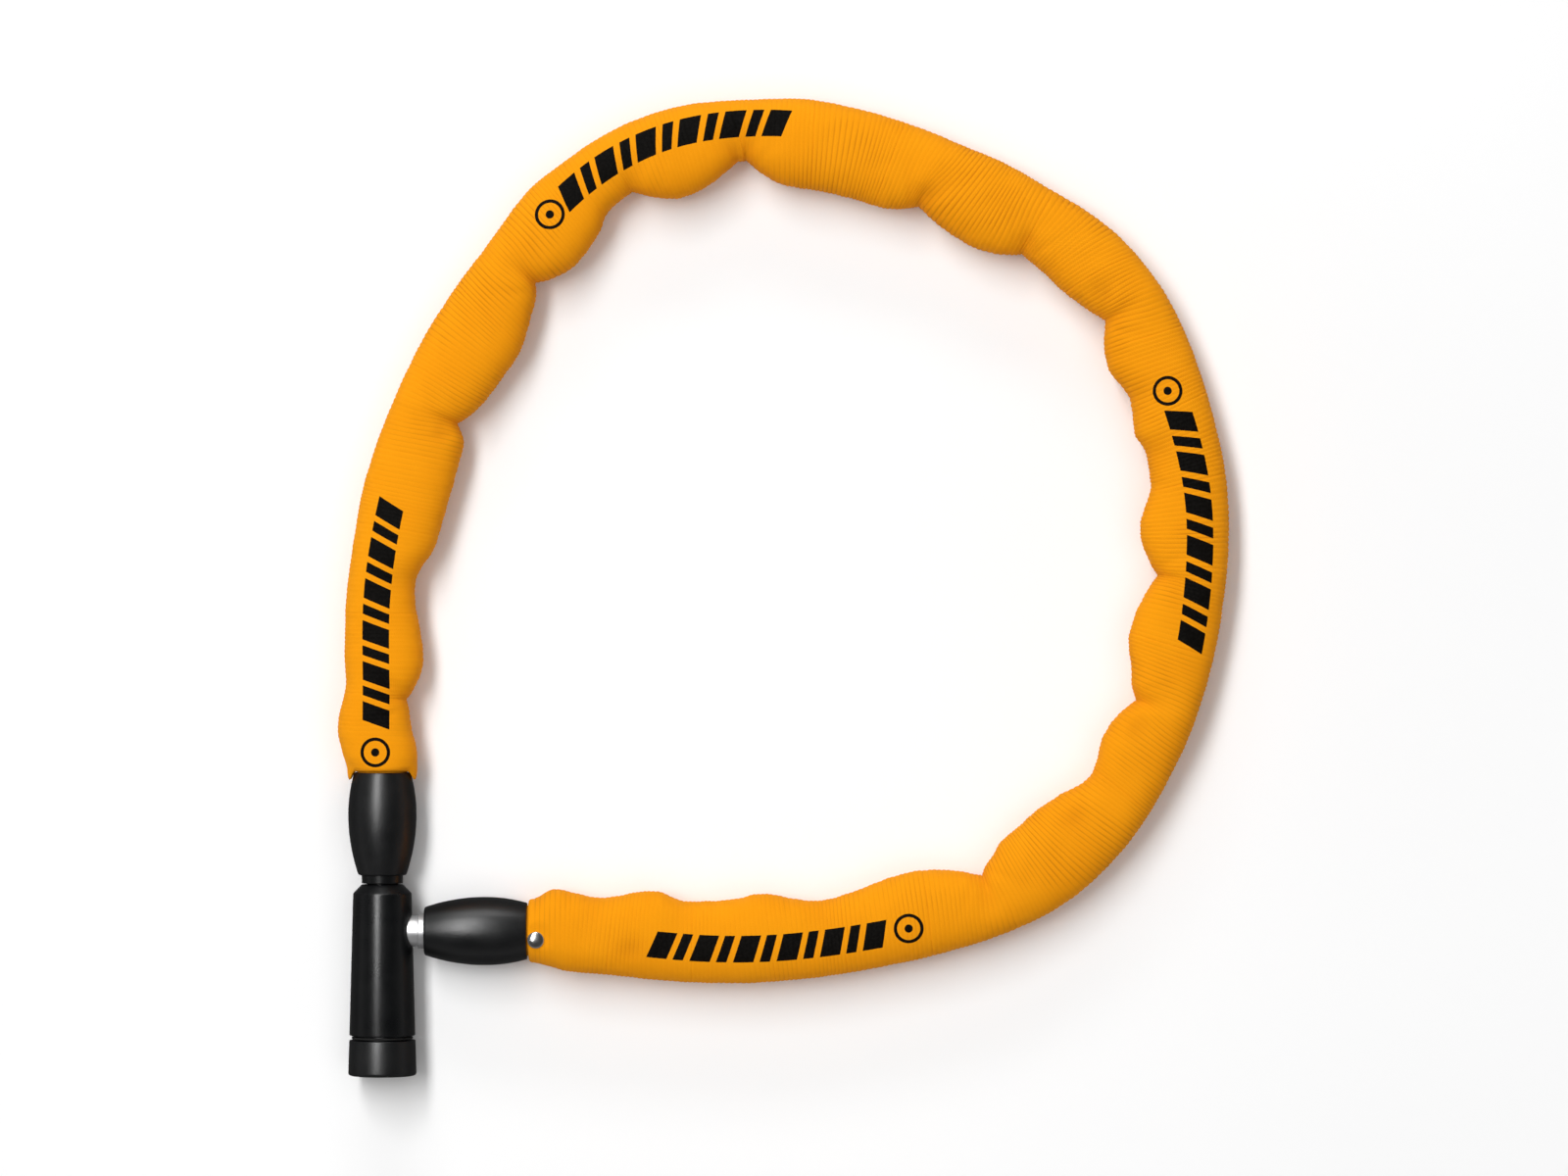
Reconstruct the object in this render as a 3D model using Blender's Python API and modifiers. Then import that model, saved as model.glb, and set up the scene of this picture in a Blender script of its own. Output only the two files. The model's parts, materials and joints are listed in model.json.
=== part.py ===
"""Chain bicycle lock: a slim cylinder lock, a side-inserted bolt, a square-link chain and a fabric sleeve.

The lock lies flat. X runs to the right, Y from the key end to the top of the loop, Z up.
Lengths in the constants are millimetres; MM turns them into metres.
"""

import math

import bmesh
import bpy
import numpy as np
from mathutils import Matrix, Vector

MM = 0.001
GAP = 0.3               # clearance between neighbouring solids
TURN_STEPS = 24         # facets around a turned piece
SMALL_STEPS = 12        # facets around a pin

# --- where the lock and the bolt lie -------------------------------------------------------
AXIS_Z = 8.7            # height of every axis above the ground
LOCK_X = -102.2         # the lock body's axis runs along Y at this X
BOLT_Y = -87.75         # the bolt's axis runs along X at this Y

# --- ferrules ------------------------------------------------------------------------------
FERRULE_MOUTH_R = 7.2
FERRULE_BELLY_R = 8.7
FERRULE_TAIL_R = 6.1
FERRULE_LENGTH = 26.2
FERRULE_BELLY_AT = 10.7     # from the mouth
FERRULE_CORNER = 0.75
MOUTH_BORE_R = 6.4
MOUTH_BORE_DEPTH = 9.5
LOCK_MOUTH_Y = -47.3        # where the sleeve enters the lock's ferrule
BOLT_MOUTH_X = -65.3        # where it enters the bolt's ferrule

# --- steel anchors that hold the chain's ends ----------------------------------------------
BOSS_R = 5.25
BOSS_PAST_MOUTH = 5.0
EYE_PAST_MOUTH = 8.5
EYE_HOLE_R = 3.3
EYE_R = 5.6
SHANK_R = 4.0
SHANK_END_Y = -82.2
CROSS_PIN_Y = -79.3
CROSS_PIN_R = 1.2

# --- lock body -----------------------------------------------------------------------------
HOUSING_FRONT_Y = -75.85
HOUSING_CONE_Y = -78.1
HOUSING_REAR_Y = -114.35
HOUSING_FRONT_R = 7.45
HOUSING_REAR_R = 8.4
CHAMBER_FRONT_Y = -93.4
CHAMBER_R = 6.5
CAP_FRONT_Y = -115.55
CAP_REAR_Y = -124.6
CAP_FRONT_R = 8.45
CAP_REAR_R = 8.7
SPIGOT_END_Y = -112.7
KEYHOLE_R = 4.6
SEAL_R = 7.8
SEAL_HALF = 0.25

# --- cylinder ------------------------------------------------------------------------------
CORE_FRONT_Y = -98.5
CORE_REAR_Y = -112.3
CORE_R = 6.2
PLUG_R = 4.2
PLUG_FACE_Y = -123.7
KEYWAY_HALF_WIDTH = 3.0
KEYWAY_HALF_HEIGHT = 0.7
WAFER_COUNT = 4
WAFER_FIRST_Y = -101.6
WAFER_PITCH = 2.6
WAFER_THICKNESS = 0.8
CORE_PIN_Y = -105.5
CORE_PIN_R = 1.0

# --- bolt and the pawl that locks it -------------------------------------------------------
BOLT_TIP_X = -106.4
BOLT_R = 4.0
BOLT_COLLAR_R = 4.45
BOLT_COLLAR_X = -93.0
GROOVE_HALF = 1.8
GROOVE_R = 2.6
PAWL_LIFT = 1.5             # travel between locked and open
PAWL_FRONT_Y = -93.8
PAWL_THICKNESS = 1.8
PAWL_ARM_END_Y = -86.0
CAM_FRONT_Y = -96.3

# --- chain and sleeve ----------------------------------------------------------------------
LINK_COUNT = 29             # odd: the first and last links stand upright
STOCK = 4.0                 # square bar
LINK_WIDTH = 13.6
LINK_CORNER_R = 5.0
LINK_HOLE_CORNER_R = 0.9
PIVOT_TO_HOLE_END = 2.7
CHAIN_SHIFT = 2.0           # in a bend the chain lies this far towards the sleeve's outer side
CHAIN_SHIFT_START = 20.0    # along the route, where it begins to leave the middle
CHAIN_SHIFT_LENGTH = 45.0   # length over which it does, at each end
SLEEVE_WALL = 0.5
SLEEVE_HALF_HEIGHT = 8.25
SLEEVE_NECK_R = 6.1         # where the ferrules hold it
SLEEVE_TUCK = 4.0           # length held inside each ferrule
SLEEVE_FLARE_START = 2.5    # it begins to widen this far past the mouth
SLEEVE_FLARE = 4.3          # length over which it widens
SLEEVE_SQUARENESS = 2.5     # exponent of its rounded section
SLEEVE_RINGS = 72
SLEEVE_SEGMENTS = 16
SLEEVE_HALF_WIDTHS = [11.5, 10.3, 10.2, 10.3, 10.2, 10.1, 10.4, 10.4, 10.3]  # evenly spaced along it

RIVET_PAST_MOUTH = 2.5
RIVET_Y = -89.65
RIVET_HEAD_R = 2.15
RIVET_SHANK_R = 0.9
RIVET_SEAT_Z = 16.2
RIVET_DOME = 0.85

# The middle line of the sleeve, from inside the lock's ferrule to inside the bolt's.
ROUTE = [
    (-102.2, -52.0), (-102.2, -38.8), (-101.9, -22.0), (-101.6, -6.0), (-99.2, 12.0), (-94.3, 31.5),
    (-86.5, 51.5), (-76.0, 69.5), (-62.5, 86.5), (-46.5, 102.0), (-28.0, 111.3), (-7.0, 114.4),
    (15.0, 112.4), (36.5, 105.6), (57.5, 95.5), (76.5, 84.0), (90.0, 67.5), (98.2, 47.0),
    (103.2, 24.0), (102.8, 2.0), (99.0, -19.5), (91.3, -40.5), (79.5, -59.0), (62.5, -74.0),
    (41.5, -82.5), (20.0, -87.4), (-3.0, -90.4), (-26.0, -90.4), (-44.0, -88.7), (-56.8, -87.75),
    (-69.5, -87.75),
]


# --- scene helpers -------------------------------------------------------------------------
def clear_scene():
    for item in list(bpy.data.objects):
        bpy.data.objects.remove(item, do_unlink=True)


def new_collection(name):
    collection = bpy.data.collections.new(name)
    bpy.context.scene.collection.children.link(collection)
    return collection


def make_material(name, colour, roughness, metallic):
    material = bpy.data.materials.new(name)
    material.use_nodes = True
    shader = material.node_tree.nodes["Principled BSDF"]
    shader.inputs["Base Color"].default_value = (*colour, 1.0)
    shader.inputs["Roughness"].default_value = roughness
    shader.inputs["Metallic"].default_value = metallic
    return material


def add_object(name, data, collection, material=None):
    item = bpy.data.objects.new(name, data)
    collection.objects.link(item)
    if material:
        data.materials.append(material)
    return item


def turned(name, profile, origin, along, collection, material=None, steps=TURN_STEPS):
    """A turned piece. profile is (radius, place along the axis) from the far end down its outer side."""
    turn = {"Y": (-math.pi / 2, 0, 0), "X": (0, math.pi / 2, 0), "Z": (0, 0, 0)}[along]
    base = origin["XYZ".index(along)]
    mesh = bpy.data.meshes.new(name)
    points = [(r * MM, 0, (a - base) * MM) for r, a in profile]
    closed = profile[0][0] > 0
    edges = [(i, i + 1) for i in range(len(points) - 1)]
    if closed:
        edges.append((len(points) - 1, 0))
    mesh.from_pydata(points, edges, [])
    item = add_object(name, mesh, collection, material)
    item.location = Vector(origin) * MM
    item.rotation_euler = turn
    screw = item.modifiers.new("Turn", "SCREW")
    screw.steps = steps
    screw.render_steps = steps
    screw.use_merge_vertices = True
    screw.merge_threshold = 0.00001
    screw.use_smooth_shade = True
    return item


def pin_cutter(name, radius, start, end, centre, along, collection):
    """A plain round bar from start to end along an axis, used to drill holes."""
    origin = list(centre)
    origin["XYZ".index(along)] = start
    profile = [(0, end), (radius, end), (radius, start), (0, start)]
    return turned(name, profile, origin, along, collection, steps=SMALL_STEPS)


def block(name, low, high, collection, material=None):
    """A box between two corners."""
    mesh = bpy.data.meshes.new(name)
    item = add_object(name, mesh, collection, material)
    form = bmesh.new()
    bmesh.ops.create_cube(form, size=1.0)
    size = (Vector(high) - Vector(low)) * MM
    bmesh.ops.scale(form, vec=size, verts=form.verts)
    form.to_mesh(mesh)
    form.free()
    item.location = (Vector(high) + Vector(low)) / 2 * MM
    return item


def apply_boolean(item, other, operation):
    step = item.modifiers.new(other.name, "BOOLEAN")
    step.operation = operation
    step.solver = "EXACT"
    step.object = other
    other.hide_render = True
    other.display_type = "WIRE"


def cut(item, *cutters):
    for cutter in cutters:
        apply_boolean(item, cutter, "DIFFERENCE")


def join(item, *others):
    for other in others:
        apply_boolean(item, other, "UNION")


def flat_outline(name, loops, thickness, collection):
    """A flat plate in the local XY plane: the first loop is its outline, the others are holes."""
    curve = bpy.data.curves.new(name, "CURVE")
    curve.dimensions = "2D"
    curve.fill_mode = "BOTH"
    curve.extrude = thickness / 2 * MM
    for loop in loops:
        spline = curve.splines.new("POLY")
        spline.points.add(len(loop) - 1)
        for point, (x, y) in zip(spline.points, loop):
            point.co = (x * MM, y * MM, 0, 1)
        spline.use_cyclic_u = True
    guide = bpy.data.objects.new(name + "_outline", curve)
    collection.objects.link(guide)
    mesh = welded_mesh(guide, name)
    bpy.data.objects.remove(guide, do_unlink=True)
    return mesh


def welded_mesh(curve_object, name):
    """The mesh of a curve object, with its caps welded on."""
    bpy.context.view_layer.update()
    depsgraph = bpy.context.evaluated_depsgraph_get()
    mesh = bpy.data.meshes.new_from_object(curve_object.evaluated_get(depsgraph))
    mesh.name = name
    form = bmesh.new()
    form.from_mesh(mesh)
    bmesh.ops.remove_doubles(form, verts=form.verts, dist=0.000001)
    bmesh.ops.recalc_face_normals(form, faces=form.faces)
    form.to_mesh(mesh)
    form.free()
    return mesh


def rounded_rectangle(low_x, high_x, half_y, radius, segments):
    """Corner points of a rectangle with round corners, counter-clockwise."""
    points = []
    corners = [
        (high_x - radius, half_y - radius, 0),
        (low_x + radius, half_y - radius, 90),
        (low_x + radius, radius - half_y, 180),
        (high_x - radius, radius - half_y, 270),
    ]
    for x, y, start in corners:
        for i in range(segments + 1):
            angle = math.radians(start + 90 * i / segments)
            points.append((x + radius * math.cos(angle), y + radius * math.sin(angle)))
    return points


def coil_spring(name, radius, wire_r, turns, foot, height, collection, material, points_a_turn=8):
    """A compression spring standing on foot, wound about Z."""
    curve = bpy.data.curves.new(name, "CURVE")
    curve.dimensions = "3D"
    curve.bevel_depth = wire_r * MM
    curve.bevel_resolution = 1
    curve.use_fill_caps = True
    spline = curve.splines.new("POLY")
    count = int(turns * points_a_turn) + 1
    spline.points.add(count - 1)
    for i, point in enumerate(spline.points):
        angle = 2 * math.pi * i / points_a_turn
        rise = (height - 2 * wire_r) * i / (count - 1) + wire_r
        point.co = (radius * math.cos(angle) * MM, radius * math.sin(angle) * MM, rise * MM, 1)
    item = add_object(name, curve, collection, material)
    item.location = Vector(foot) * MM
    return item


# --- the route of chain and sleeve ---------------------------------------------------------
def smooth_route(points, steps_a_span=60):
    """A natural cubic spline through the points, as a dense list of points."""
    points = np.array(points, float)
    knots = lengths_along(points)
    span = np.diff(knots)
    count = len(points)
    matrix = np.eye(count)
    right = np.zeros((count, 2))
    for i in range(1, count - 1):
        matrix[i, i - 1:i + 2] = span[i - 1], 2 * (span[i - 1] + span[i]), span[i]
        before = (points[i] - points[i - 1]) / span[i - 1]
        after = (points[i + 1] - points[i]) / span[i]
        right[i] = 6 * (after - before)
    bend = np.linalg.solve(matrix, right)
    dense = []
    for i in range(count - 1):
        for t in np.linspace(0, 1, steps_a_span, endpoint=False):
            a, b = 1 - t, t
            dense.append(
                a * points[i] + b * points[i + 1]
                + ((a ** 3 - a) * bend[i] + (b ** 3 - b) * bend[i + 1]) * span[i] ** 2 / 6
            )
    dense.append(points[-1])
    return np.array(dense)


def next_on_route(line, index, start, distance):
    """The first point of the line past index that lies this far from start, and its index."""
    while index < len(line) - 1:
        ahead = line[index + 1] - start
        if np.hypot(*ahead) >= distance:
            behind = line[index] - start
            step = ahead - behind
            square = step @ step
            half = behind @ step
            rest = behind @ behind - distance ** 2
            share = (-half + math.sqrt(max(half * half - square * rest, 0))) / square
            return start + behind + share * step, index
        index += 1
    return None, index


def link_spans(link_length):
    """Distance between the two pivots on an upright link and on a flat one."""
    return link_length - STOCK, link_length - 2 * STOCK - 2 * PIVOT_TO_HOLE_END


def lengths_along(line):
    """Distance from the start of a line to each of its points."""
    return np.concatenate([[0], np.cumsum(np.linalg.norm(np.diff(line, axis=0), axis=1))])


def chain_line():
    """The route, moved outwards between its ends: the chain lies against the sleeve's outer side."""
    line = smooth_route(ROUTE)
    along = lengths_along(line)
    heading = np.gradient(line, along, axis=0)
    heading /= np.linalg.norm(heading, axis=1)[:, None]
    outwards = np.column_stack([-heading[:, 1], heading[:, 0]])
    from_end = np.minimum(along, along[-1] - along) - CHAIN_SHIFT_START
    share = np.clip(from_end / CHAIN_SHIFT_LENGTH, 0, 1)
    share = share * share * (3 - 2 * share)
    return line + outwards * (CHAIN_SHIFT * share)[:, None]


def walk_chain(line, first, link_length):
    """Pivot points of the chain, laid along the line from the first pivot."""
    upright, flat = link_spans(link_length)
    pivots = [np.array(first)]
    index = int(np.argmin(np.linalg.norm(line - pivots[0], axis=1)))
    for number in range(LINK_COUNT):
        point, index = next_on_route(line, index, pivots[-1], flat if number % 2 else upright)
        if point is None:
            return None
        pivots.append(point)
    return pivots


def lay_chain():
    """The link length that makes the chain end exactly in the bolt's eye, and the pivots."""
    line = chain_line()
    first = (LOCK_X, LOCK_MOUTH_Y + EYE_PAST_MOUTH)
    last = np.array((BOLT_MOUTH_X + EYE_PAST_MOUTH, BOLT_Y))
    low, high = 24.0, 34.0
    for _ in range(60):
        middle = (low + high) / 2
        pivots = walk_chain(line, first, middle)
        if pivots is None or pivots[-1][0] < last[0]:
            high = middle
        else:
            low = middle
    pivots = walk_chain(line, first, low)
    pivots[-1] = last
    return low, pivots


# --- pieces --------------------------------------------------------------------------------
def ferrule_profile(mouth, tail, bore_r, narrow_r=None, narrow_length=0.0):
    """Barrel-shaped sleeve end: outside from the mouth to the tail, then back along the bore."""
    way = 1 if tail > mouth else -1
    length = abs(tail - mouth)
    outside = []
    for i in range(9):
        at = length * i / 8
        if at < FERRULE_BELLY_AT:
            share = 1 - at / FERRULE_BELLY_AT
            radius = FERRULE_BELLY_R - (FERRULE_BELLY_R - FERRULE_MOUTH_R) * share ** 2
        else:
            share = (at - FERRULE_BELLY_AT) / (length - FERRULE_BELLY_AT)
            radius = FERRULE_BELLY_R - (FERRULE_BELLY_R - FERRULE_TAIL_R) * share ** 2
        outside.append((radius, mouth + way * at))
    outside[-1] = (FERRULE_TAIL_R + 0.1, tail - way * FERRULE_CORNER)
    outside.append((FERRULE_TAIL_R - FERRULE_CORNER * 0.3, tail - way * FERRULE_CORNER * 0.3))
    outside.append((FERRULE_TAIL_R - FERRULE_CORNER, tail))
    inside = [(bore_r, mouth + way * MOUTH_BORE_DEPTH), (MOUTH_BORE_R, mouth + way * MOUTH_BORE_DEPTH),
              (MOUTH_BORE_R, mouth)]
    if narrow_r:
        step = tail - way * narrow_length
        inside = [(narrow_r, tail), (narrow_r, step), (bore_r, step)] + inside
    else:
        inside = [(bore_r, tail)] + inside
    profile = outside + inside
    return profile if way < 0 else profile[::-1]


def make_lock_ferrule(parts, mats):
    tail = LOCK_MOUTH_Y - FERRULE_LENGTH
    profile = ferrule_profile(LOCK_MOUTH_Y, tail, BOSS_R + GAP)
    turned("lock_ferrule", profile, (LOCK_X, 0, AXIS_Z), "Y", parts, mats["black_plastic"])


def make_bolt_ferrule(parts, mats, eye):
    tail = BOLT_MOUTH_X - FERRULE_LENGTH
    profile = ferrule_profile(BOLT_MOUTH_X, tail, BOSS_R + GAP, BOLT_COLLAR_R + GAP, 3.0)
    turned("bolt_ferrule", profile, (eye, BOLT_Y, AXIS_Z), "X", parts, mats["black_plastic"])


def eye_plate(name, direction, mouth, cutters):
    """The flat tongue with the hole that the chain's last link hooks into."""
    count = 12
    rim = [(EYE_R * math.cos(math.pi * (i / count - 0.5)), EYE_R * math.sin(math.pi * (i / count - 0.5)))
           for i in range(count + 1)]
    root = BOSS_PAST_MOUTH - EYE_PAST_MOUTH - 1.0
    outline = rim + [(root, BOSS_R - 1.0), (root, 1.0 - BOSS_R)]
    hole = [(EYE_HOLE_R * math.cos(2 * math.pi * i / 16), EYE_HOLE_R * math.sin(2 * math.pi * i / 16))
            for i in range(16)]
    mesh = flat_outline(name, [outline, hole], STOCK, cutters)
    plate = add_object(name, mesh, cutters)
    plate.location = Vector((*mouth, AXIS_Z)) * MM
    plate.rotation_euler = (0, 0, direction)
    return plate


def make_lock_anchor(parts, mats, cutters):
    """Neck between lock body and ferrule; its shank is pinned in the body, its eye holds the chain."""
    eye_y = LOCK_MOUTH_Y + EYE_PAST_MOUTH
    shoulder = HOUSING_FRONT_Y + GAP
    top = LOCK_MOUTH_Y + BOSS_PAST_MOUTH
    profile = [(0, top), (BOSS_R - 0.6, top), (BOSS_R, top - 0.6), (BOSS_R, shoulder), (SHANK_R, shoulder),
               (SHANK_R, SHANK_END_Y), (0, SHANK_END_Y)]
    anchor = turned("lock_anchor", profile, (LOCK_X, 0, AXIS_Z), "Y", parts, mats["bolt_steel"])
    join(anchor, eye_plate("lock_eye", math.pi / 2, (LOCK_X, eye_y), cutters))
    hole = pin_cutter("cross_pin_hole", CROSS_PIN_R + GAP, AXIS_Z - 8, AXIS_Z + 8,
                      (LOCK_X, CROSS_PIN_Y, 0), "Z", cutters)
    cut(anchor, hole)


def make_anchor_pin(parts, mats):
    low, high = AXIS_Z - 6.4, AXIS_Z + 4.9
    profile = [(0, high), (CROSS_PIN_R, high), (CROSS_PIN_R, low), (0, low)]
    turned("anchor_cross_pin", profile, (LOCK_X, CROSS_PIN_Y, low), "Z", parts, mats["bolt_steel"],
           steps=SMALL_STEPS)


def make_housing(parts, mats, cutters):
    """Lock body: a tapered bar, bored for the anchor, the bolt, the pawl and the cylinder."""
    shank_bore = SHANK_R + GAP
    profile = [(BOSS_R, HOUSING_FRONT_Y), (HOUSING_FRONT_R, HOUSING_CONE_Y), (HOUSING_REAR_R, HOUSING_REAR_Y),
               (CHAMBER_R, HOUSING_REAR_Y), (CHAMBER_R, CHAMBER_FRONT_Y), (0, CHAMBER_FRONT_Y)]
    profile = [(0, SHANK_END_Y - GAP), (shank_bore, SHANK_END_Y - GAP), (shank_bore, HOUSING_FRONT_Y)] + profile
    housing = turned("lock_housing", profile, (LOCK_X, 0, AXIS_Z), "Y", parts, mats["black_paint"])
    bolt_hole = pin_cutter("bolt_hole", BOLT_R + GAP, BOLT_TIP_X - 0.5, LOCK_X + 12, (0, BOLT_Y, AXIS_Z),
                           "X", cutters)
    pin_hole = pin_cutter("anchor_pin_hole", CROSS_PIN_R + GAP, AXIS_Z - 10, AXIS_Z + 5.3,
                          (LOCK_X, CROSS_PIN_Y, 0), "Z", cutters)
    core_hole = pin_cutter("core_pin_hole", CORE_PIN_R + GAP, AXIS_Z - 10, AXIS_Z - 5,
                           (LOCK_X, CORE_PIN_Y, 0), "Z", cutters)
    slot = block("pawl_slot", (LOCK_X - GROOVE_HALF, CORE_FRONT_Y + 0.2, AXIS_Z + 2.4),
                 (LOCK_X + GROOVE_HALF, PAWL_ARM_END_Y + 0.35, AXIS_Z + 6.4), cutters)
    cut(housing, bolt_hole, pin_hole, core_hole, slot)


def make_end_cap(parts, mats):
    """Cap round the keyhole, held in the body by its spigot."""
    corner = 0.7
    outside = [(CORE_R, SPIGOT_END_Y), (CORE_R, CAP_FRONT_Y), (CAP_FRONT_R, CAP_FRONT_Y),
               (CAP_REAR_R, CAP_REAR_Y + corner), (CAP_REAR_R - 0.2, CAP_REAR_Y + 0.2),
               (CAP_REAR_R - corner, CAP_REAR_Y)]
    inside = [(KEYHOLE_R + 0.4, CAP_REAR_Y), (KEYHOLE_R, CAP_REAR_Y + 0.4), (KEYHOLE_R, SPIGOT_END_Y)]
    turned("end_cap", outside + inside, (LOCK_X, 0, AXIS_Z), "Y", parts, mats["black_plastic"])


def make_seal_ring(parts, mats):
    middle = (HOUSING_REAR_Y + CAP_FRONT_Y) / 2
    profile = [(SEAL_R, middle + SEAL_HALF), (SEAL_R, middle - SEAL_HALF), (CORE_R + GAP, middle - SEAL_HALF),
               (CORE_R + GAP, middle + SEAL_HALF)]
    turned("seal_ring", profile, (LOCK_X, 0, AXIS_Z), "Y", parts, mats["rubber"])


def make_core(parts, mats, cutters):
    """Fixed barrel of the cylinder, with the channel that the wafers drop into."""
    bore = PLUG_R + GAP
    profile = [(CORE_R, CORE_FRONT_Y), (CORE_R, CORE_REAR_Y), (bore, CORE_REAR_Y), (bore, CORE_FRONT_Y)]
    core = turned("cylinder_core", profile, (LOCK_X, 0, AXIS_Z), "Y", parts, mats["brass"])
    channel = block("wafer_channel", (LOCK_X - 2.6, CORE_REAR_Y + 1.2, AXIS_Z), (LOCK_X + 2.6, CORE_FRONT_Y + 1,
                    AXIS_Z + 5.4), cutters)
    hole = pin_cutter("core_pin_seat", CORE_PIN_R + GAP, AXIS_Z - 8, AXIS_Z - PLUG_R - 0.5,
                      (LOCK_X, CORE_PIN_Y, 0), "Z", cutters)
    cut(core, channel, hole)


def make_core_pin(parts, mats):
    low, high = AXIS_Z - 7.6, AXIS_Z - PLUG_R - 0.8
    profile = [(0, high), (CORE_PIN_R, high), (CORE_PIN_R, low), (0, low)]
    turned("core_retaining_pin", profile, (LOCK_X, CORE_PIN_Y, low), "Z", parts, mats["bolt_steel"],
           steps=SMALL_STEPS)


def wafer_places():
    return [WAFER_FIRST_Y - WAFER_PITCH * i for i in range(WAFER_COUNT)]


def make_plug(parts, mats, cutters):
    """Turning plug with its keyway and wafer slots, drawn in the open position."""
    profile = [(0, CORE_FRONT_Y), (PLUG_R, CORE_FRONT_Y), (PLUG_R, PLUG_FACE_Y + 0.3),
               (PLUG_R - 0.3, PLUG_FACE_Y), (0, PLUG_FACE_Y)]
    plug = turned("key_plug", profile, (LOCK_X, 0, AXIS_Z), "Y", parts, mats["brass"])
    keyway = block("keyway", (LOCK_X - 1.7, PLUG_FACE_Y - 1, AXIS_Z - KEYWAY_HALF_HEIGHT),
                   (LOCK_X + KEYWAY_HALF_WIDTH, WAFER_FIRST_Y + 1.2, AXIS_Z + KEYWAY_HALF_HEIGHT), cutters)
    cut(plug, keyway)
    half = WAFER_THICKNESS / 2 + GAP
    for number, y in enumerate(wafer_places(), 1):
        slot = block(f"wafer_slot_{number}", (LOCK_X - 1.9, y - half, AXIS_Z - 2.6),
                     (LOCK_X + 6, y + half, AXIS_Z + 2.6), cutters)
        pocket = pin_cutter(f"wafer_pocket_{number}", 0.7, LOCK_X - 3.6, LOCK_X - 1.5,
                            (0, y, AXIS_Z + 1.5), "X", cutters)
        cut(plug, slot, pocket)


def make_wafers(parts, mats, cutters):
    """Sprung wafers, each held level with the plug's rim as the key would hold it."""
    window = [(-0.9, -1.4), (2.1, -1.4), (2.1, 1.4), (-0.9, 1.4)]
    outline = [(-1.6, -2.3), (3.1, -2.3), (3.7, -1.2), (3.7, 1.2), (3.1, 2.3), (-1.6, 2.3)]
    mesh = flat_outline("wafer", [outline, window], WAFER_THICKNESS, cutters)
    mesh.materials.append(mats["brass"])
    for number, y in enumerate(wafer_places(), 1):
        wafer = bpy.data.objects.new(f"wafer_{number}", mesh)
        parts.objects.link(wafer)
        wafer.location = Vector((LOCK_X, y, AXIS_Z)) * MM
        wafer.rotation_euler = (math.pi / 2, 0, 0)
        spring = coil_spring(f"wafer_spring_{number}", 0.3, 0.1, 3, (LOCK_X - 3.3, y, AXIS_Z + 1.5), 1.4,
                             parts, mats["spring_steel"], points_a_turn=6)
        spring.rotation_euler = (0, math.pi / 2, 0)


def make_cam(parts, mats, cutters):
    """Disc on the plug's inner end; its eccentric pin moves the pawl."""
    rear = CORE_FRONT_Y + GAP
    profile = [(0, CAM_FRONT_Y), (3.6, CAM_FRONT_Y), (3.6, rear), (0, rear)]
    cam = turned("plug_cam", profile, (LOCK_X, 0, AXIS_Z), "Y", parts, mats["bolt_steel"], steps=20)
    crank = pin_cutter("cam_crank", 0.8, CAM_FRONT_Y - 0.8, PAWL_FRONT_Y - 0.1,
                       (LOCK_X, 0, AXIS_Z + PAWL_LIFT), "Y", cutters)
    join(cam, crank)


def make_pawl(parts, mats, cutters):
    """Sliding pawl. Its arm drops into the bolt's groove; it is drawn raised, in the open position."""
    outline = [(-3.6, -2.6), (4.6, -2.6), (4.6, -0.5), (2.4, -0.5), (2.4, 2.9), (1.5, 2.9), (1.5, 4.6),
               (-1.5, 4.6), (-1.5, 2.9), (-3.6, 2.9)]
    window = [(-2.7, -1.45), (1.2, -1.45), (1.2, 1.45), (-2.7, 1.45)]
    mesh = flat_outline("locking_pawl", [outline, window], PAWL_THICKNESS, cutters)
    pawl = add_object("locking_pawl", mesh, parts, mats["bolt_steel"])
    middle = PAWL_FRONT_Y - PAWL_THICKNESS / 2
    pawl.location = Vector((LOCK_X, middle, AXIS_Z + PAWL_LIFT)) * MM
    pawl.rotation_euler = (math.pi / 2, 0, 0)
    arm = block("pawl_arm", (LOCK_X - 1.5, middle, AXIS_Z + PAWL_LIFT + 2.9),
                (LOCK_X + 1.5, PAWL_ARM_END_Y, AXIS_Z + PAWL_LIFT + 4.6), cutters)
    join(pawl, arm)


def make_pawl_spring(parts, mats):
    foot = (LOCK_X + 3.5, PAWL_FRONT_Y - PAWL_THICKNESS / 2, AXIS_Z + PAWL_LIFT - 0.5 + GAP)
    coil_spring("pawl_spring", 0.7, 0.18, 4, foot, 3.1, parts, mats["spring_steel"])


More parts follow.
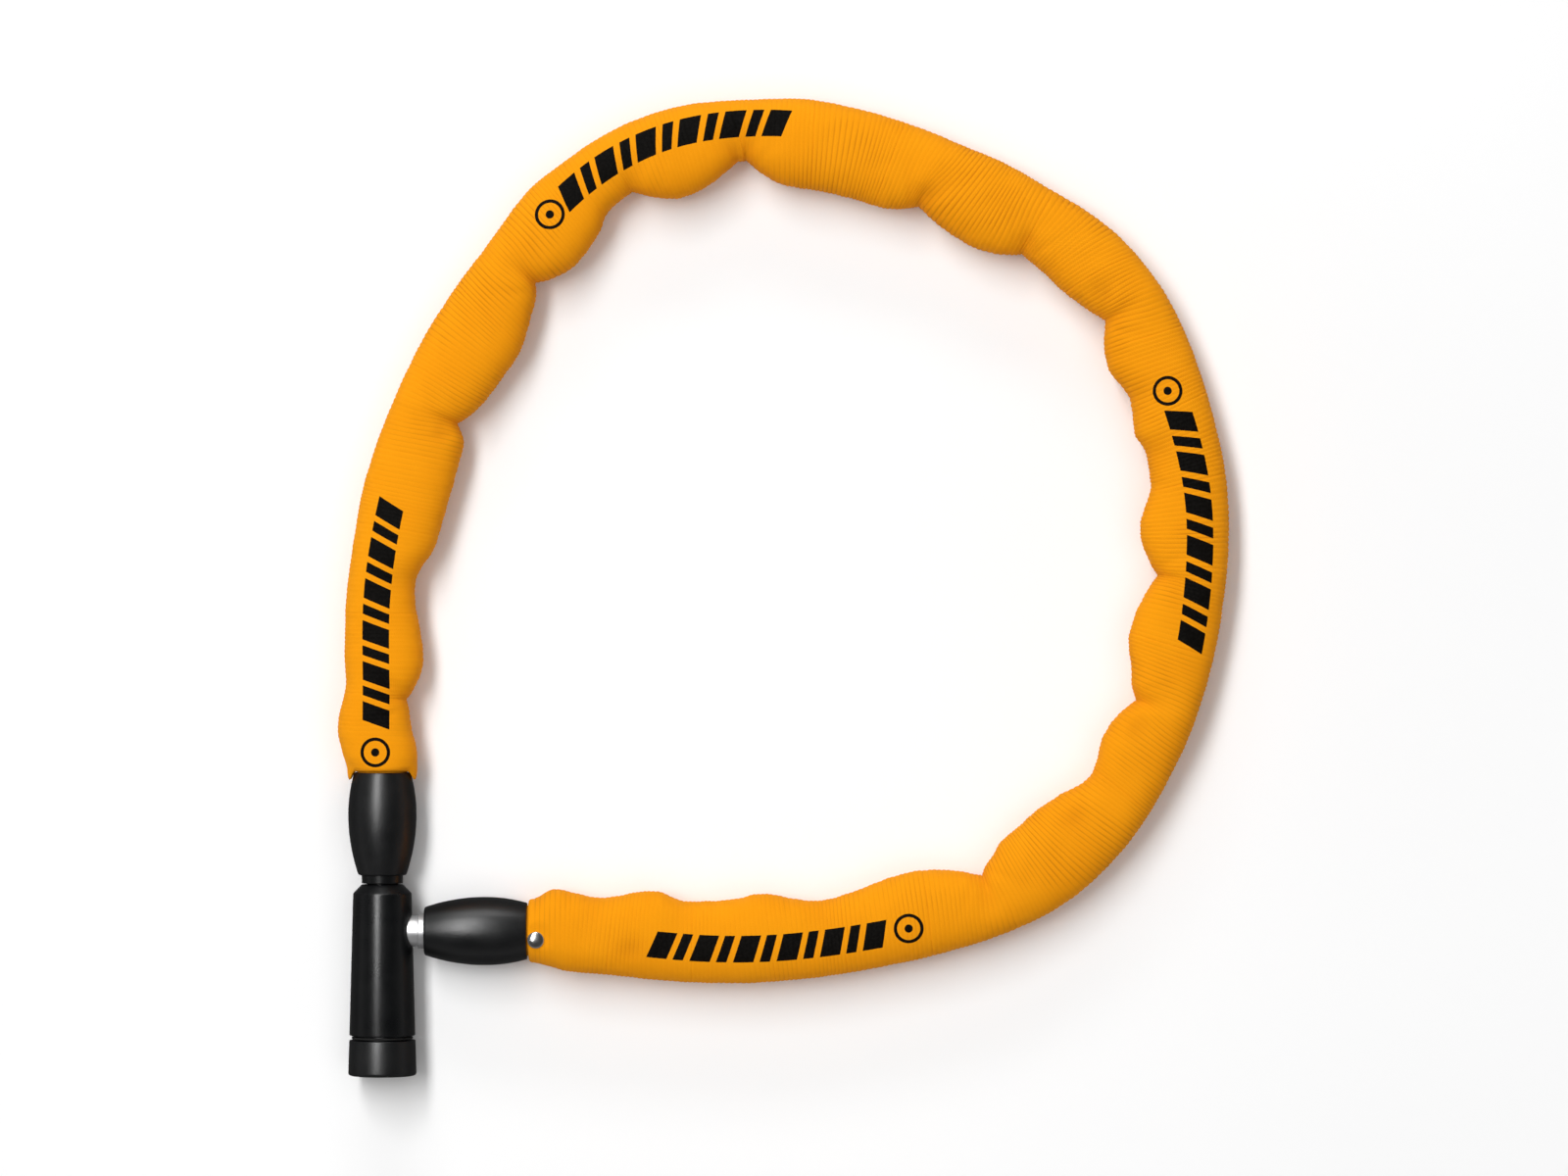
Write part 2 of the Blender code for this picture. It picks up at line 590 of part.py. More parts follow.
def make_bolt(parts, mats, cutters):
    """Bolt: grooved nose, collar, the boss inside the ferrule and the eye for the chain."""
    eye_x = BOLT_MOUTH_X + EYE_PAST_MOUTH
    end = BOLT_MOUTH_X + BOSS_PAST_MOUTH
    boss_start = BOLT_MOUTH_X - FERRULE_LENGTH + 3.0 + GAP
    nose = [(BOLT_R, LOCK_X + GROOVE_HALF), (GROOVE_R, LOCK_X + GROOVE_HALF), (GROOVE_R, LOCK_X - GROOVE_HALF),
            (BOLT_R, LOCK_X - GROOVE_HALF), (BOLT_R, BOLT_TIP_X + 0.8), (BOLT_R - 0.8, BOLT_TIP_X), (0, BOLT_TIP_X)]
    profile = [(0, end), (BOSS_R - 0.6, end), (BOSS_R, end - 0.6), (BOSS_R, boss_start),
               (BOLT_COLLAR_R, boss_start), (BOLT_COLLAR_R, BOLT_COLLAR_X), (BOLT_R, BOLT_COLLAR_X)] + nose
    bolt = turned("locking_bolt", profile, (eye_x, BOLT_Y, AXIS_Z), "X", parts, mats["bolt_steel"])
    join(bolt, eye_plate("bolt_eye", 0, (eye_x, BOLT_Y), cutters))
    hole = pin_cutter("rivet_hole", RIVET_SHANK_R + GAP, AXIS_Z + 1.5, AXIS_Z + 8,
                      (BOLT_MOUTH_X + RIVET_PAST_MOUTH, RIVET_Y, 0), "Z", cutters)
    cut(bolt, hole)


def make_rivet(parts, mats):
    """Domed rivet that pins the sleeve to the bolt's boss."""
    tip = AXIS_Z + 2.0
    dome = [(RIVET_HEAD_R * math.sin(math.radians(a)), RIVET_SEAT_Z + RIVET_DOME * math.cos(math.radians(a)))
            for a in range(0, 90, 18)]
    profile = dome + [(RIVET_HEAD_R, RIVET_SEAT_Z), (RIVET_SHANK_R, RIVET_SEAT_Z), (RIVET_SHANK_R, tip), (0, tip)]
    turned("sleeve_rivet", profile, (BOLT_MOUTH_X + RIVET_PAST_MOUTH, RIVET_Y, tip), "Z", parts,
           mats["rivet_chrome"], steps=20)


def make_chain(parts, mats, cutters):
    """Square-bar links, upright and flat in turn, each with its origin on the pivot to the one before."""
    length, pivots = lay_chain()
    meshes = []
    for near_end in (STOCK / 2, STOCK + PIVOT_TO_HOLE_END):
        outer = rounded_rectangle(-near_end, length - near_end, LINK_WIDTH / 2, LINK_CORNER_R, 3)
        inner = rounded_rectangle(STOCK - near_end, length - near_end - STOCK, LINK_WIDTH / 2 - STOCK,
                                  LINK_HOLE_CORNER_R, 2)
        mesh = flat_outline("link", [outer, inner], STOCK, cutters)
        mesh.materials.append(mats["chain_steel"])
        meshes.append(mesh)
    for number in range(LINK_COUNT):
        flat = number % 2 == 1
        link = bpy.data.objects.new(f"chain_link_{number + 1:02d}", meshes[1 if flat else 0])
        parts.objects.link(link)
        span = pivots[number + 1] - pivots[number]
        heading = Matrix.Rotation(math.atan2(span[1], span[0]), 4, "Z")
        roll = Matrix.Rotation(0 if flat else math.pi / 2, 4, "X")
        place = Matrix.Translation(Vector((*pivots[number], AXIS_Z)) * MM)
        link.matrix_world = place @ heading @ roll


def sleeve_section(along, total):
    """Half width and half height of the sleeve's outside at a place along it."""
    widths = np.array(SLEEVE_HALF_WIDTHS)
    half_width = np.interp(along / total, np.linspace(0, 1, len(widths)), widths)
    past_start = min(along, total - along) - SLEEVE_TUCK - SLEEVE_FLARE_START
    share = min(max(past_start / SLEEVE_FLARE, 0), 1)
    share = share * share * (3 - 2 * share)
    return (SLEEVE_NECK_R + (half_width - SLEEVE_NECK_R) * share,
            SLEEVE_NECK_R + (SLEEVE_HALF_HEIGHT - SLEEVE_NECK_R) * share,
            2 + (SLEEVE_SQUARENESS - 2) * share)


def sleeve_stations(total):
    """Places along the sleeve: close together in the flares at its ends, even between."""
    flare = SLEEVE_TUCK + SLEEVE_FLARE_START + SLEEVE_FLARE
    end = list(np.linspace(0, flare, 7))
    middle = list(np.linspace(flare, total - flare, SLEEVE_RINGS - 12)[1:-1])
    return end + middle + [total - x for x in reversed(end)]


def make_sleeve(parts, mats, cutters):
    """Fabric sleeve: a tube over the whole chain, each end held in a ferrule and one end riveted."""
    line = smooth_route(ROUTE)
    start = int(np.argmin(np.abs(line[:200, 1] - (LOCK_MOUTH_Y - SLEEVE_TUCK))))
    stop = len(line) - 200 + int(np.argmin(np.abs(line[-200:, 0] - (BOLT_MOUTH_X - SLEEVE_TUCK))))
    line = line[start:stop + 1]
    reach = lengths_along(line)
    total = reach[-1]
    form = bmesh.new()
    rings = []
    for along in sleeve_stations(total):
        x = np.interp(along, reach, line[:, 0])
        y = np.interp(along, reach, line[:, 1])
        step = 0.5
        dx = np.interp(along + step, reach, line[:, 0]) - np.interp(along - step, reach, line[:, 0])
        dy = np.interp(along + step, reach, line[:, 1]) - np.interp(along - step, reach, line[:, 1])
        side = Vector((-dy, dx, 0)).normalized()
        half_width, half_height, power = sleeve_section(along, total)
        ring = []
        for i in range(SLEEVE_SEGMENTS):
            angle = 2 * math.pi * i / SLEEVE_SEGMENTS
            across = half_width * math.copysign(abs(math.cos(angle)) ** (2 / power), math.cos(angle))
            up = half_height * math.copysign(abs(math.sin(angle)) ** (2 / power), math.sin(angle))
            ring.append(form.verts.new((Vector((x, y, AXIS_Z + up)) + side * across) * MM))
        rings.append(ring)
    for ring, following in zip(rings, rings[1:]):
        for i in range(SLEEVE_SEGMENTS):
            j = (i + 1) % SLEEVE_SEGMENTS
            form.faces.new((ring[i], ring[j], following[j], following[i]))
    bmesh.ops.recalc_face_normals(form, faces=form.faces)
    mesh = bpy.data.meshes.new("fabric_sleeve")
    form.to_mesh(mesh)
    form.free()
    sleeve = add_object("fabric_sleeve", mesh, parts, mats["sleeve_fabric"])
    wall = sleeve.modifiers.new("Wall", "SOLIDIFY")
    wall.thickness = SLEEVE_WALL * MM
    wall.offset = -1
    wall.use_even_offset = False
    hole = pin_cutter("sleeve_rivet_hole", RIVET_SHANK_R + GAP, AXIS_Z + 3, AXIS_Z + 9,
                      (BOLT_MOUTH_X + RIVET_PAST_MOUTH, RIVET_Y, 0), "Z", cutters)
    cut(sleeve, hole)


def make_materials():
    return {
        "sleeve_fabric": make_material("sleeve_fabric", (0.90, 0.33, 0.01), 0.85, 0.0),
        "black_plastic": make_material("black_plastic", (0.02, 0.02, 0.021), 0.4, 0.0),
        "black_paint": make_material("black_paint", (0.015, 0.015, 0.016), 0.3, 0.0),
        "bolt_steel": make_material("bolt_steel", (0.62, 0.62, 0.63), 0.3, 1.0),
        "chain_steel": make_material("chain_steel", (0.42, 0.42, 0.44), 0.4, 1.0),
        "brass": make_material("brass", (0.72, 0.55, 0.25), 0.35, 1.0),
        "spring_steel": make_material("spring_steel", (0.55, 0.55, 0.56), 0.3, 1.0),
        "rivet_chrome": make_material("rivet_chrome", (0.8, 0.8, 0.8), 0.15, 1.0),
        "rubber": make_material("rubber", (0.02, 0.02, 0.02), 0.8, 0.0),
    }


def main():
    clear_scene()
    parts = new_collection("chain_bike_lock")
    cutters = new_collection("cutters")
    mats = make_materials()
    eye_x = BOLT_MOUTH_X + EYE_PAST_MOUTH
    make_housing(parts, mats, cutters)
    make_end_cap(parts, mats)
    make_seal_ring(parts, mats)
    make_core(parts, mats, cutters)
    make_core_pin(parts, mats)
    make_plug(parts, mats, cutters)
    make_wafers(parts, mats, cutters)
    make_cam(parts, mats, cutters)
    make_pawl(parts, mats, cutters)
    make_pawl_spring(parts, mats)
    make_lock_anchor(parts, mats, cutters)
    make_anchor_pin(parts, mats)
    make_lock_ferrule(parts, mats)
    make_bolt(parts, mats, cutters)
    make_bolt_ferrule(parts, mats, eye_x)
    make_rivet(parts, mats)
    make_chain(parts, mats, cutters)
    make_sleeve(parts, mats, cutters)
    bpy.context.view_layer.update()


main()
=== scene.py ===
"""Looks of a chain bicycle lock: ribbed fabric sleeve, moulded ferrules, lock body, bolt, and every finish.

The CAD frame is in metres. The shapes below are worked out in millimetres, and MM turns them into metres.
"""

import json
import math

import bmesh
import bpy
import numpy as np
from mathutils import Matrix, Vector


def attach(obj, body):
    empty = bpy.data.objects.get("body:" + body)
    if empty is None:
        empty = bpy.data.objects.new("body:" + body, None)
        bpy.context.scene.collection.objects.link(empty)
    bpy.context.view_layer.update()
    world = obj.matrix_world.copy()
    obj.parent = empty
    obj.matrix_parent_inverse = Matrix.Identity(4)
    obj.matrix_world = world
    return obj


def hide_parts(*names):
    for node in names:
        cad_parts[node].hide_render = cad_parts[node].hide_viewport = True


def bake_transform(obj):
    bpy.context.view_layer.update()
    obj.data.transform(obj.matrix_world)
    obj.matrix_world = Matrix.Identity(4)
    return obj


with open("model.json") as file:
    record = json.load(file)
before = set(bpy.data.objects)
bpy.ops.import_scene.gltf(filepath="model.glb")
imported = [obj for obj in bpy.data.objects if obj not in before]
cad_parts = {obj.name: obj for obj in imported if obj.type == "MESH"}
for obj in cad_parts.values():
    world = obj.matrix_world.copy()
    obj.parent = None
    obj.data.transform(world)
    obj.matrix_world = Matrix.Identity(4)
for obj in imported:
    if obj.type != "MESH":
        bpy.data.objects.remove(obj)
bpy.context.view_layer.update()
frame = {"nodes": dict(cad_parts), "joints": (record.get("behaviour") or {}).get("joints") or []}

MM = 0.001

# --- places and sizes shared with the CAD, in millimetres -------------------------------------
AXIS_Z = 8.7                # height of every axis
LOCK_X = -102.2             # the lock body's axis runs along Y
BOLT_Y = -87.75             # the bolt's axis runs along X
GAP = 0.3                   # clearance between neighbours
END_GAP = 0.5               # clearance at the end of a blind hole
LINKS = 29
WAFERS = 4

FERRULE_LENGTH = 26.2
FERRULE_BORE = 5.55
BOLT_FERRULE_NECK = 4.75    # where the bolt leaves its ferrule
BOLT_FERRULE_WALL = 3.0
MOUTH_R = 7.2
MOUTH_BORE = 6.4
MOUTH_DEPTH = 9.5
BELLY_R = 8.7
BELLY_AT = 10.7             # from the mouth
TAIL_R = 6.1
TAIL_CORNER = 0.75
LOCK_MOUTH_Y = -47.3        # where the sleeve enters the lock's ferrule
BOLT_MOUTH_X = -65.3        # where it enters the bolt's ferrule
LOCK_MOUTH_AT = 4.7         # the same two places along the route
BOLT_MOUTH_AT = 611.7

BOSS_R = 5.25
BOSS_PAST_MOUTH = 5.0
BOSS_CHAMFER = 0.6
EYE_PAST_MOUTH = 8.5
EYE_R = 5.6
EYE_HOLE_R = 3.3
EYE_HALF_THICKNESS = 2.0
TONGUE_HALF_WIDTH = 4.25
TONGUE_LENGTH = 4.5
SHANK_R = 4.0
SHANK_END_Y = -82.2
CROSS_PIN_Y = -79.3
CROSS_PIN_R = 1.2
CORE_PIN_Y = -105.5
CORE_PIN_R = 1.0

HOUSING_FRONT_Y = -75.85
HOUSING_CONE_END = (7.45, -78.1)    # radius and Y
HOUSING_REAR = (8.4, -114.35)
CHAMBER_R = 6.5
CHAMBER_FRONT_Y = -93.4
ANCHOR_PIN_HOLE_TOP = 5.3           # heights from the axis
CORE_PIN_HOLE_TOP = -5.0
PAWL_SLOT_HEIGHTS = (2.4, 6.4)
PAWL_SLOT_Y = (-98.3, -85.65)
PAWL_SLOT_HALF_WIDTH = 1.8
CAP_SPIGOT = (6.2, -112.7)
CAP_FRONT = (8.45, -115.55)
CAP_EDGE = [(8.7, -123.9), (8.5, -124.4), (8.0, -124.6)]
CAP_DISH = [(5.6, -124.6), (5.0, -124.2), (4.6, -124.2)]     # from the rear face in to the keyhole
SEAL_R = 7.8
SEAL_Y = (-114.7, -115.2)

BOLT_TIP_X = -106.4
BOLT_TIP_CHAMFER = 0.8
BOLT_COLLAR = (4.45, -93.0)         # radius and X, where the collar ends
BOLT_GROOVE_R = 2.6
BOLT_GROOVE_HALF = 1.8
RIVET = (BOLT_MOUTH_X + 2.5, -89.65)
RIVET_SEAT_Z = 16.2
RIVET_HEAD_R = 2.15
RIVET_RIM = 0.12
RIVET_DOME = 0.73
RIVET_SHANK_R = 0.9
RIVET_SHANK_END = 2.0               # above the axis

# The sleeve's middle line, from inside the lock's ferrule to inside the bolt's.
ROUTE = [
    (-102.2, -52.0), (-102.2, -38.8), (-101.9, -22.0), (-101.6, -6.0), (-99.2, 12.0), (-94.3, 31.5),
    (-86.5, 51.5), (-76.0, 69.5), (-62.5, 86.5), (-46.5, 102.0), (-28.0, 111.3), (-7.0, 114.4),
    (15.0, 112.4), (36.5, 105.6), (57.5, 95.5), (76.5, 84.0), (90.0, 67.5), (98.2, 47.0),
    (103.2, 24.0), (102.8, 2.0), (99.0, -19.5), (91.3, -40.5), (79.5, -59.0), (62.5, -74.0),
    (41.5, -82.5), (20.0, -87.4), (-3.0, -90.4), (-26.0, -90.4), (-44.0, -88.7), (-56.8, -87.75),
    (-69.5, -87.75),
]

# --- shape of the sleeve ---------------------------------------------------------------------
# The inner side of the bend gathers in folds with puffs between them.
# Each entry is (place along the route, half width, kind): a puff or a soft dip is round, a fold is pointed.
INNER_SIDE = [
    (5.5, 8.9, "round"), (9, 8.9, "round"), (16, 7.4, "round"), (23.5, 5.9, "fold"),
    (34, 10.1, "round"), (54, 7.1, "round"), (66, 10.8, "round"), (80, 11.3, "round"),
    (92, 10.8, "round"), (98, 7.1, "fold"), (110, 11.8, "round"), (122, 12.8, "round"),
    (133, 9.9, "round"), (141, 5.3, "fold"), (153, 10.1, "round"), (162, 8.8, "round"),
    (169, 6.0, "round"), (177, 5.4, "fold"), (191, 12.1, "round"), (207.8, 5.65, "fold"),
    (210.2, 5.65, "fold"), (224, 12.1, "round"), (248, 12.4, "round"), (259, 8.6, "fold"),
    (276, 11.9, "round"), (289, 7.8, "fold"), (296, 8.9, "round"), (304, 9.8, "round"),
    (320, 6.4, "fold"), (333, 11.4, "round"), (343, 9.0, "round"), (352, 10.3, "round"),
    (358, 8.8, "round"), (366, 9.0, "round"), (379, 12.5, "round"), (392, 7.3, "fold"),
    (409, 12.1, "round"), (418, 9.5, "round"), (426, 5.7, "fold"), (438, 9.7, "round"),
    (450, 7.4, "round"), (460, 10.7, "round"), (469, 12.3, "round"), (482, 11.5, "round"),
    (487.2, 9.0, "round"), (492, 5.5, "fold"), (512, 11.8, "round"), (535, 9.0, "round"),
    (552, 12.3, "round"), (558, 11.2, "round"), (572, 10.3, "round"), (580, 12.2, "round"),
    (595, 9.1, "round"), (605, 10.6, "round"), (610, 8.3, "round"),
]
OUTER_SIDE = [
    (5.5, 9.0, "round"), (10, 10.2, "round"), (16, 11.4, "round"), (28, 9.5, "round"),
    (34, 9.9, "round"), (58, 10.0, "round"), (78, 10.6, "round"), (100, 10.1, "round"),
    (136, 10.1, "round"), (158, 11.6, "round"), (170, 10.7, "round"), (190, 10.6, "round"),
    (212, 9.9, "round"), (226, 10.5, "round"), (240, 10.1, "round"), (262, 10.1, "round"),
    (274, 10.8, "round"), (290, 10.1, "round"), (440, 10.2, "round"), (462, 10.7, "round"),
    (478, 10.7, "round"), (490, 10.3, "round"), (600, 10.2, "round"), (606, 9.0, "round"),
    (610, 8.2, "round"),
]
# How the sleeve comes out of a ferrule: (place past the rim at the sides, half width,
# place past the rim on top, half height). At the lock its sides bulge back over the rim.
RIM_PROFILE = [
    (-4.0, 6.1, -4.0, 6.1), (-2.0, 6.1, -2.0, 6.1), (-0.3, 6.15, -0.3, 6.15), (0.25, 6.4, 0.25, 6.4),
    (0.4, 7.0, 0.4, 7.0), (0.0, 7.6, 0.5, 7.5), (-0.9, 7.95, 0.65, 7.8), (-1.7, 8.15, 0.85, 7.95),
    (-1.8, 8.45, 1.1, 8.05), (-1.1, 8.75, 1.35, 8.1), (0.0, 8.9, 1.65, 8.1), (1.1, 8.95, 1.95, 8.12),
]
RIM_END = 2.3               # the ribs start this far past the rim
RIM_EASE = 8.0              # away from a rim the ribs and creases grow over this length
HALF_HEIGHT = 8.25
SQUARENESS = 2.5            # exponent of the rounded section
SAG = 0.45                  # the top sinks this much over a flat link
RIB_PITCH = 1.17
RINGS_A_RIB = 3             # one in the groove and two on the crest
SEGMENTS = 64               # points round the sleeve
RIB_HEIGHT = 0.135
THREADS = 112               # lengthwise threads round the sleeve
LOWEST_Z = 0.1              # the sleeve flattens where it rests

# How clearly the ribs show along the sleeve: (place, strength).
RIB_SHOW = [
    (0, 0.35), (60, 0.3), (84, 0.55), (130, 0.9), (170, 0.55), (205, 0.5), (236, 0.9), (300, 1.0),
    (360, 1.0), (420, 0.75), (470, 0.9), (520, 0.65), (560, 0.45), (616, 0.7),
]
# Where the ribs lean: (place, millimetres by which the outer side runs ahead).
RIB_LEAN = [
    (0, 0.0), (90, -0.8), (125, 1.6), (160, 0.4), (215, -0.6), (245, 0.0), (262, 2.6), (284, 0.6),
    (305, 2.8), (330, 1.0), (352, -1.6), (380, -0.4), (430, 1.6), (470, -1.0), (500, 1.4), (560, -0.6),
    (616, 0.0),
]
GATHER = 0.45               # how strongly the ribs close up at a fold
GATHER_REACH = 6.0
RIB_WANDER = 1.1            # how far a rib strays along the sleeve
OUTER_WAVE = 0.12           # small waves in the outline
INNER_WAVE = 0.15
CREASE_DEPTH = 1.25
FOLD_SLANTS = (0.35, -0.25, 0.15)
FAN_START = 1.8             # the finer creases start this far from their fold
FAN_STRENGTH = 0.22
DIP_STRENGTH = 0.4          # crease at a soft dip
DIMPLES = [(94, -5.0), (259, -6.0), (289, -5.2), (313, -3.5), (433, -3.6), (462, -4.5), (585, 3.0)]
DIMPLE_DEPTH = 0.55
DIMPLE_SIZE = (3.4, 2.6)    # along and across
SLACK_DEPTH = 0.16          # shallow hollows that lie across the top
PULL_REACH = (5.0, 2.6)     # the rivet pulls the fabric down within this, fading over that

# Prints: (ring's place, its offset outwards, row's start, row's end, offset at the start, and at the end)
PRINTS = [
    (10.0, 1.3, 17.0, 73.0, 1.2, 2.2),
    (156.5, 3.0, 161.5, 220.5, 3.2, 3.5),
    (343.8, 0.3, 349.5, 409.0, 1.4, 3.2),
    (514.3, 1.7, 520.5, 579.5, 1.7, 0.9),
]
PRINT_HALF_HEIGHT = 3.4
PRINT_SLANT = 0.34
PAIRS_OF_BARS = 5.47        # pairs of one wide and one narrow bar, ending with a wide one
WIDE_BAR = 0.47             # shares of a pair
NARROW_BAR = (0.62, 0.86)
RING_R = 3.35
RING_HALF_WIDTH = 0.42
DOT_R = 1.05


# --- small helpers ---------------------------------------------------------------------------
def ease(t):
    t = np.clip(t, 0, 1)
    return t * t * (3 - 2 * t)


def bell(t):
    return np.exp(-(t ** 2))


def lengths_along(line):
    return np.concatenate([[0], np.cumsum(np.linalg.norm(np.diff(line, axis=0), axis=1))])


def smooth_route(points, steps_a_span=60):
    """A natural cubic spline through the points, as a dense list of points."""
    points = np.array(points, float)
    knots = lengths_along(points)
    span = np.diff(knots)
    count = len(points)
    matrix = np.eye(count)
    right = np.zeros((count, 2))
    for i in range(1, count - 1):
        matrix[i, i - 1:i + 2] = span[i - 1], 2 * (span[i - 1] + span[i]), span[i]
        before = (points[i] - points[i - 1]) / span[i - 1]
        after = (points[i + 1] - points[i]) / span[i]
        right[i] = 6 * (after - before)
    bend = np.linalg.solve(matrix, right)
    dense = []
    for i in range(count - 1):
        for t in np.linspace(0, 1, steps_a_span, endpoint=False):
            a, b = 1 - t, t
            dense.append(
                a * points[i] + b * points[i + 1]
                + ((a ** 3 - a) * bend[i] + (b ** 3 - b) * bend[i + 1]) * span[i] ** 2 / 6
            )
    dense.append(points[-1])
    return np.array(dense)


def shaped(entries, place):
    """Smooth value at a place, level at the highest and lowest entries and pointed at folds."""
    places = np.array([e[0] for e in entries], float)
    values = np.array([e[1] for e in entries], float)
    slope = np.diff(values) / np.diff(places)
    entering, leaving = np.zeros(len(places)), np.zeros(len(places))
    for i in range(1, len(places) - 1):
        before, after = slope[i - 1], slope[i]
        if entries[i][2] == "fold":
            entering[i], leaving[i] = 2 * before, 2 * after
        elif before * after > 0:
            entering[i] = leaving[i] = 2 * before * after / (before + after)
    i = np.clip(np.searchsorted(places, place) - 1, 0, len(places) - 2)
    span = places[i + 1] - places[i]
    t = np.clip((place - places[i]) / span, 0, 1)
    return (
        values[i] * (1 + 2 * t) * (1 - t) ** 2 + values[i + 1] * (3 - 2 * t) * t ** 2
        + span * (leaving[i] * t * (1 - t) ** 2 - entering[i + 1] * t ** 2 * (1 - t))
    )


def gentle(entries, place):
    """Smooth value at a place between (place, value) entries."""
    return shaped([(a, b, "round") for a, b in entries], place)


def ripple(rng, place, across, wavelengths, lean):
    """Irregular waves along the sleeve, about 1 high in all."""
    total = 0
    for wavelength in wavelengths:
        phase = rng.uniform(0, 2 * math.pi)
        tilt = rng.uniform(-lean, lean)
        grow = rng.uniform(0.6, 1.0)
        total = total + grow * np.sin(2 * math.pi * (place + tilt * across) / wavelength + phase)
    return total / len(wavelengths)


def new_object(name, mesh, material=None):
    item = bpy.data.objects.new(name, mesh)
    bpy.context.scene.collection.objects.link(item)
    if material:
        mesh.materials.append(material)
    return item


# --- the sleeve ------------------------------------------------------------------------------
line = smooth_route(ROUTE)
reach = lengths_along(line)
heading = np.gradient(line, reach, axis=0)
heading /= np.linalg.norm(heading, axis=1)[:, None]


def route_place(point):
    """Place along the route nearest to a point."""
    return reach[int(np.argmin(np.linalg.norm(line - np.array(point), axis=1)))]


chain_joints = [joint for joint in frame["joints"] if joint["name"].startswith("chain_turn_")]
chain_joints.sort(key=lambda joint: joint["name"])
pivots = [np.array(j["pos_m"][:2]) / MM for j in chain_joints]
pivot_places = [route_place(p) for p in pivots]
link_middles = [(a + b) / 2 for a, b in zip(pivot_places, pivot_places[1:])]


def ring_places():
    """Each ring's place at the sides and on top, and its number in the ribbing, -1 at a rim."""
    rim = np.array(RIM_PROFILE)
    first, last = LOCK_MOUTH_AT + RIM_END, BOLT_MOUTH_AT - RIM_END
    ribs = round((last - first) / RIB_PITCH)
    ribbed = np.linspace(first, last, ribs * RINGS_A_RIB + 1)
    bolt_rim = BOLT_MOUTH_AT - rim[::-1, 2]
    no_rib = np.full(len(rim), -1)
    at_sides = np.concatenate([LOCK_MOUTH_AT + rim[:, 0], ribbed, bolt_rim])
    on_top = np.concatenate([LOCK_MOUTH_AT + rim[:, 2], ribbed, bolt_rim])
    number = np.concatenate([no_rib, np.arange(len(ribbed)), no_rib])
    return at_sides[:, None], on_top[:, None], number[:, None]


def crease_at(place, out, half, inner):
    """How deep the fabric is drawn in, about 1 at a fold on the inner side."""
    folds = [(at, width) for at, width, kind in INNER_SIDE if kind == "fold"]
    crease = np.zeros_like(half)
    # each fold runs from the inner side over the top and under, widening and fading
    for number, (at, width) in enumerate(folds):
        off_fold = place - at - FOLD_SLANTS[number % 3] * half * (out + 1)
        crease = crease + (1.15 - width / 14) * bell(off_fold / (1.1 + 1.9 * (out + 1))) * inner
        for side in (-1, 1):                                # finer creases fan out on both sides
            fan = place - at - side * (FAN_START + (0.4 + 0.1 * (number % 3)) * half * (out + 1))
            crease = crease + FAN_STRENGTH * bell(fan / (0.8 + 0.6 * (out + 1))) * inner
    widths = [width for _, width, _ in INNER_SIDE]
    for (at, width, kind), before, after in zip(INNER_SIDE[1:], widths, widths[2:]):
        if kind == "round" and width < min(before, after):
            crease = crease + DIP_STRENGTH * bell((place - at) / (3.0 + 1.5 * (out + 1))) * inner
    return crease


def dimple_at(place, across, rise):
    """Round hollows on top, 1 at the middle of each."""
    dimple = np.zeros_like(across)
    for at, offset in DIMPLES:
        along = (place - at) / DIMPLE_SIZE[0]
        aside = (across - offset) / DIMPLE_SIZE[1]
        dimple = dimple + np.exp(-(along ** 2) - aside ** 2) * (rise > 0)
    return dimple


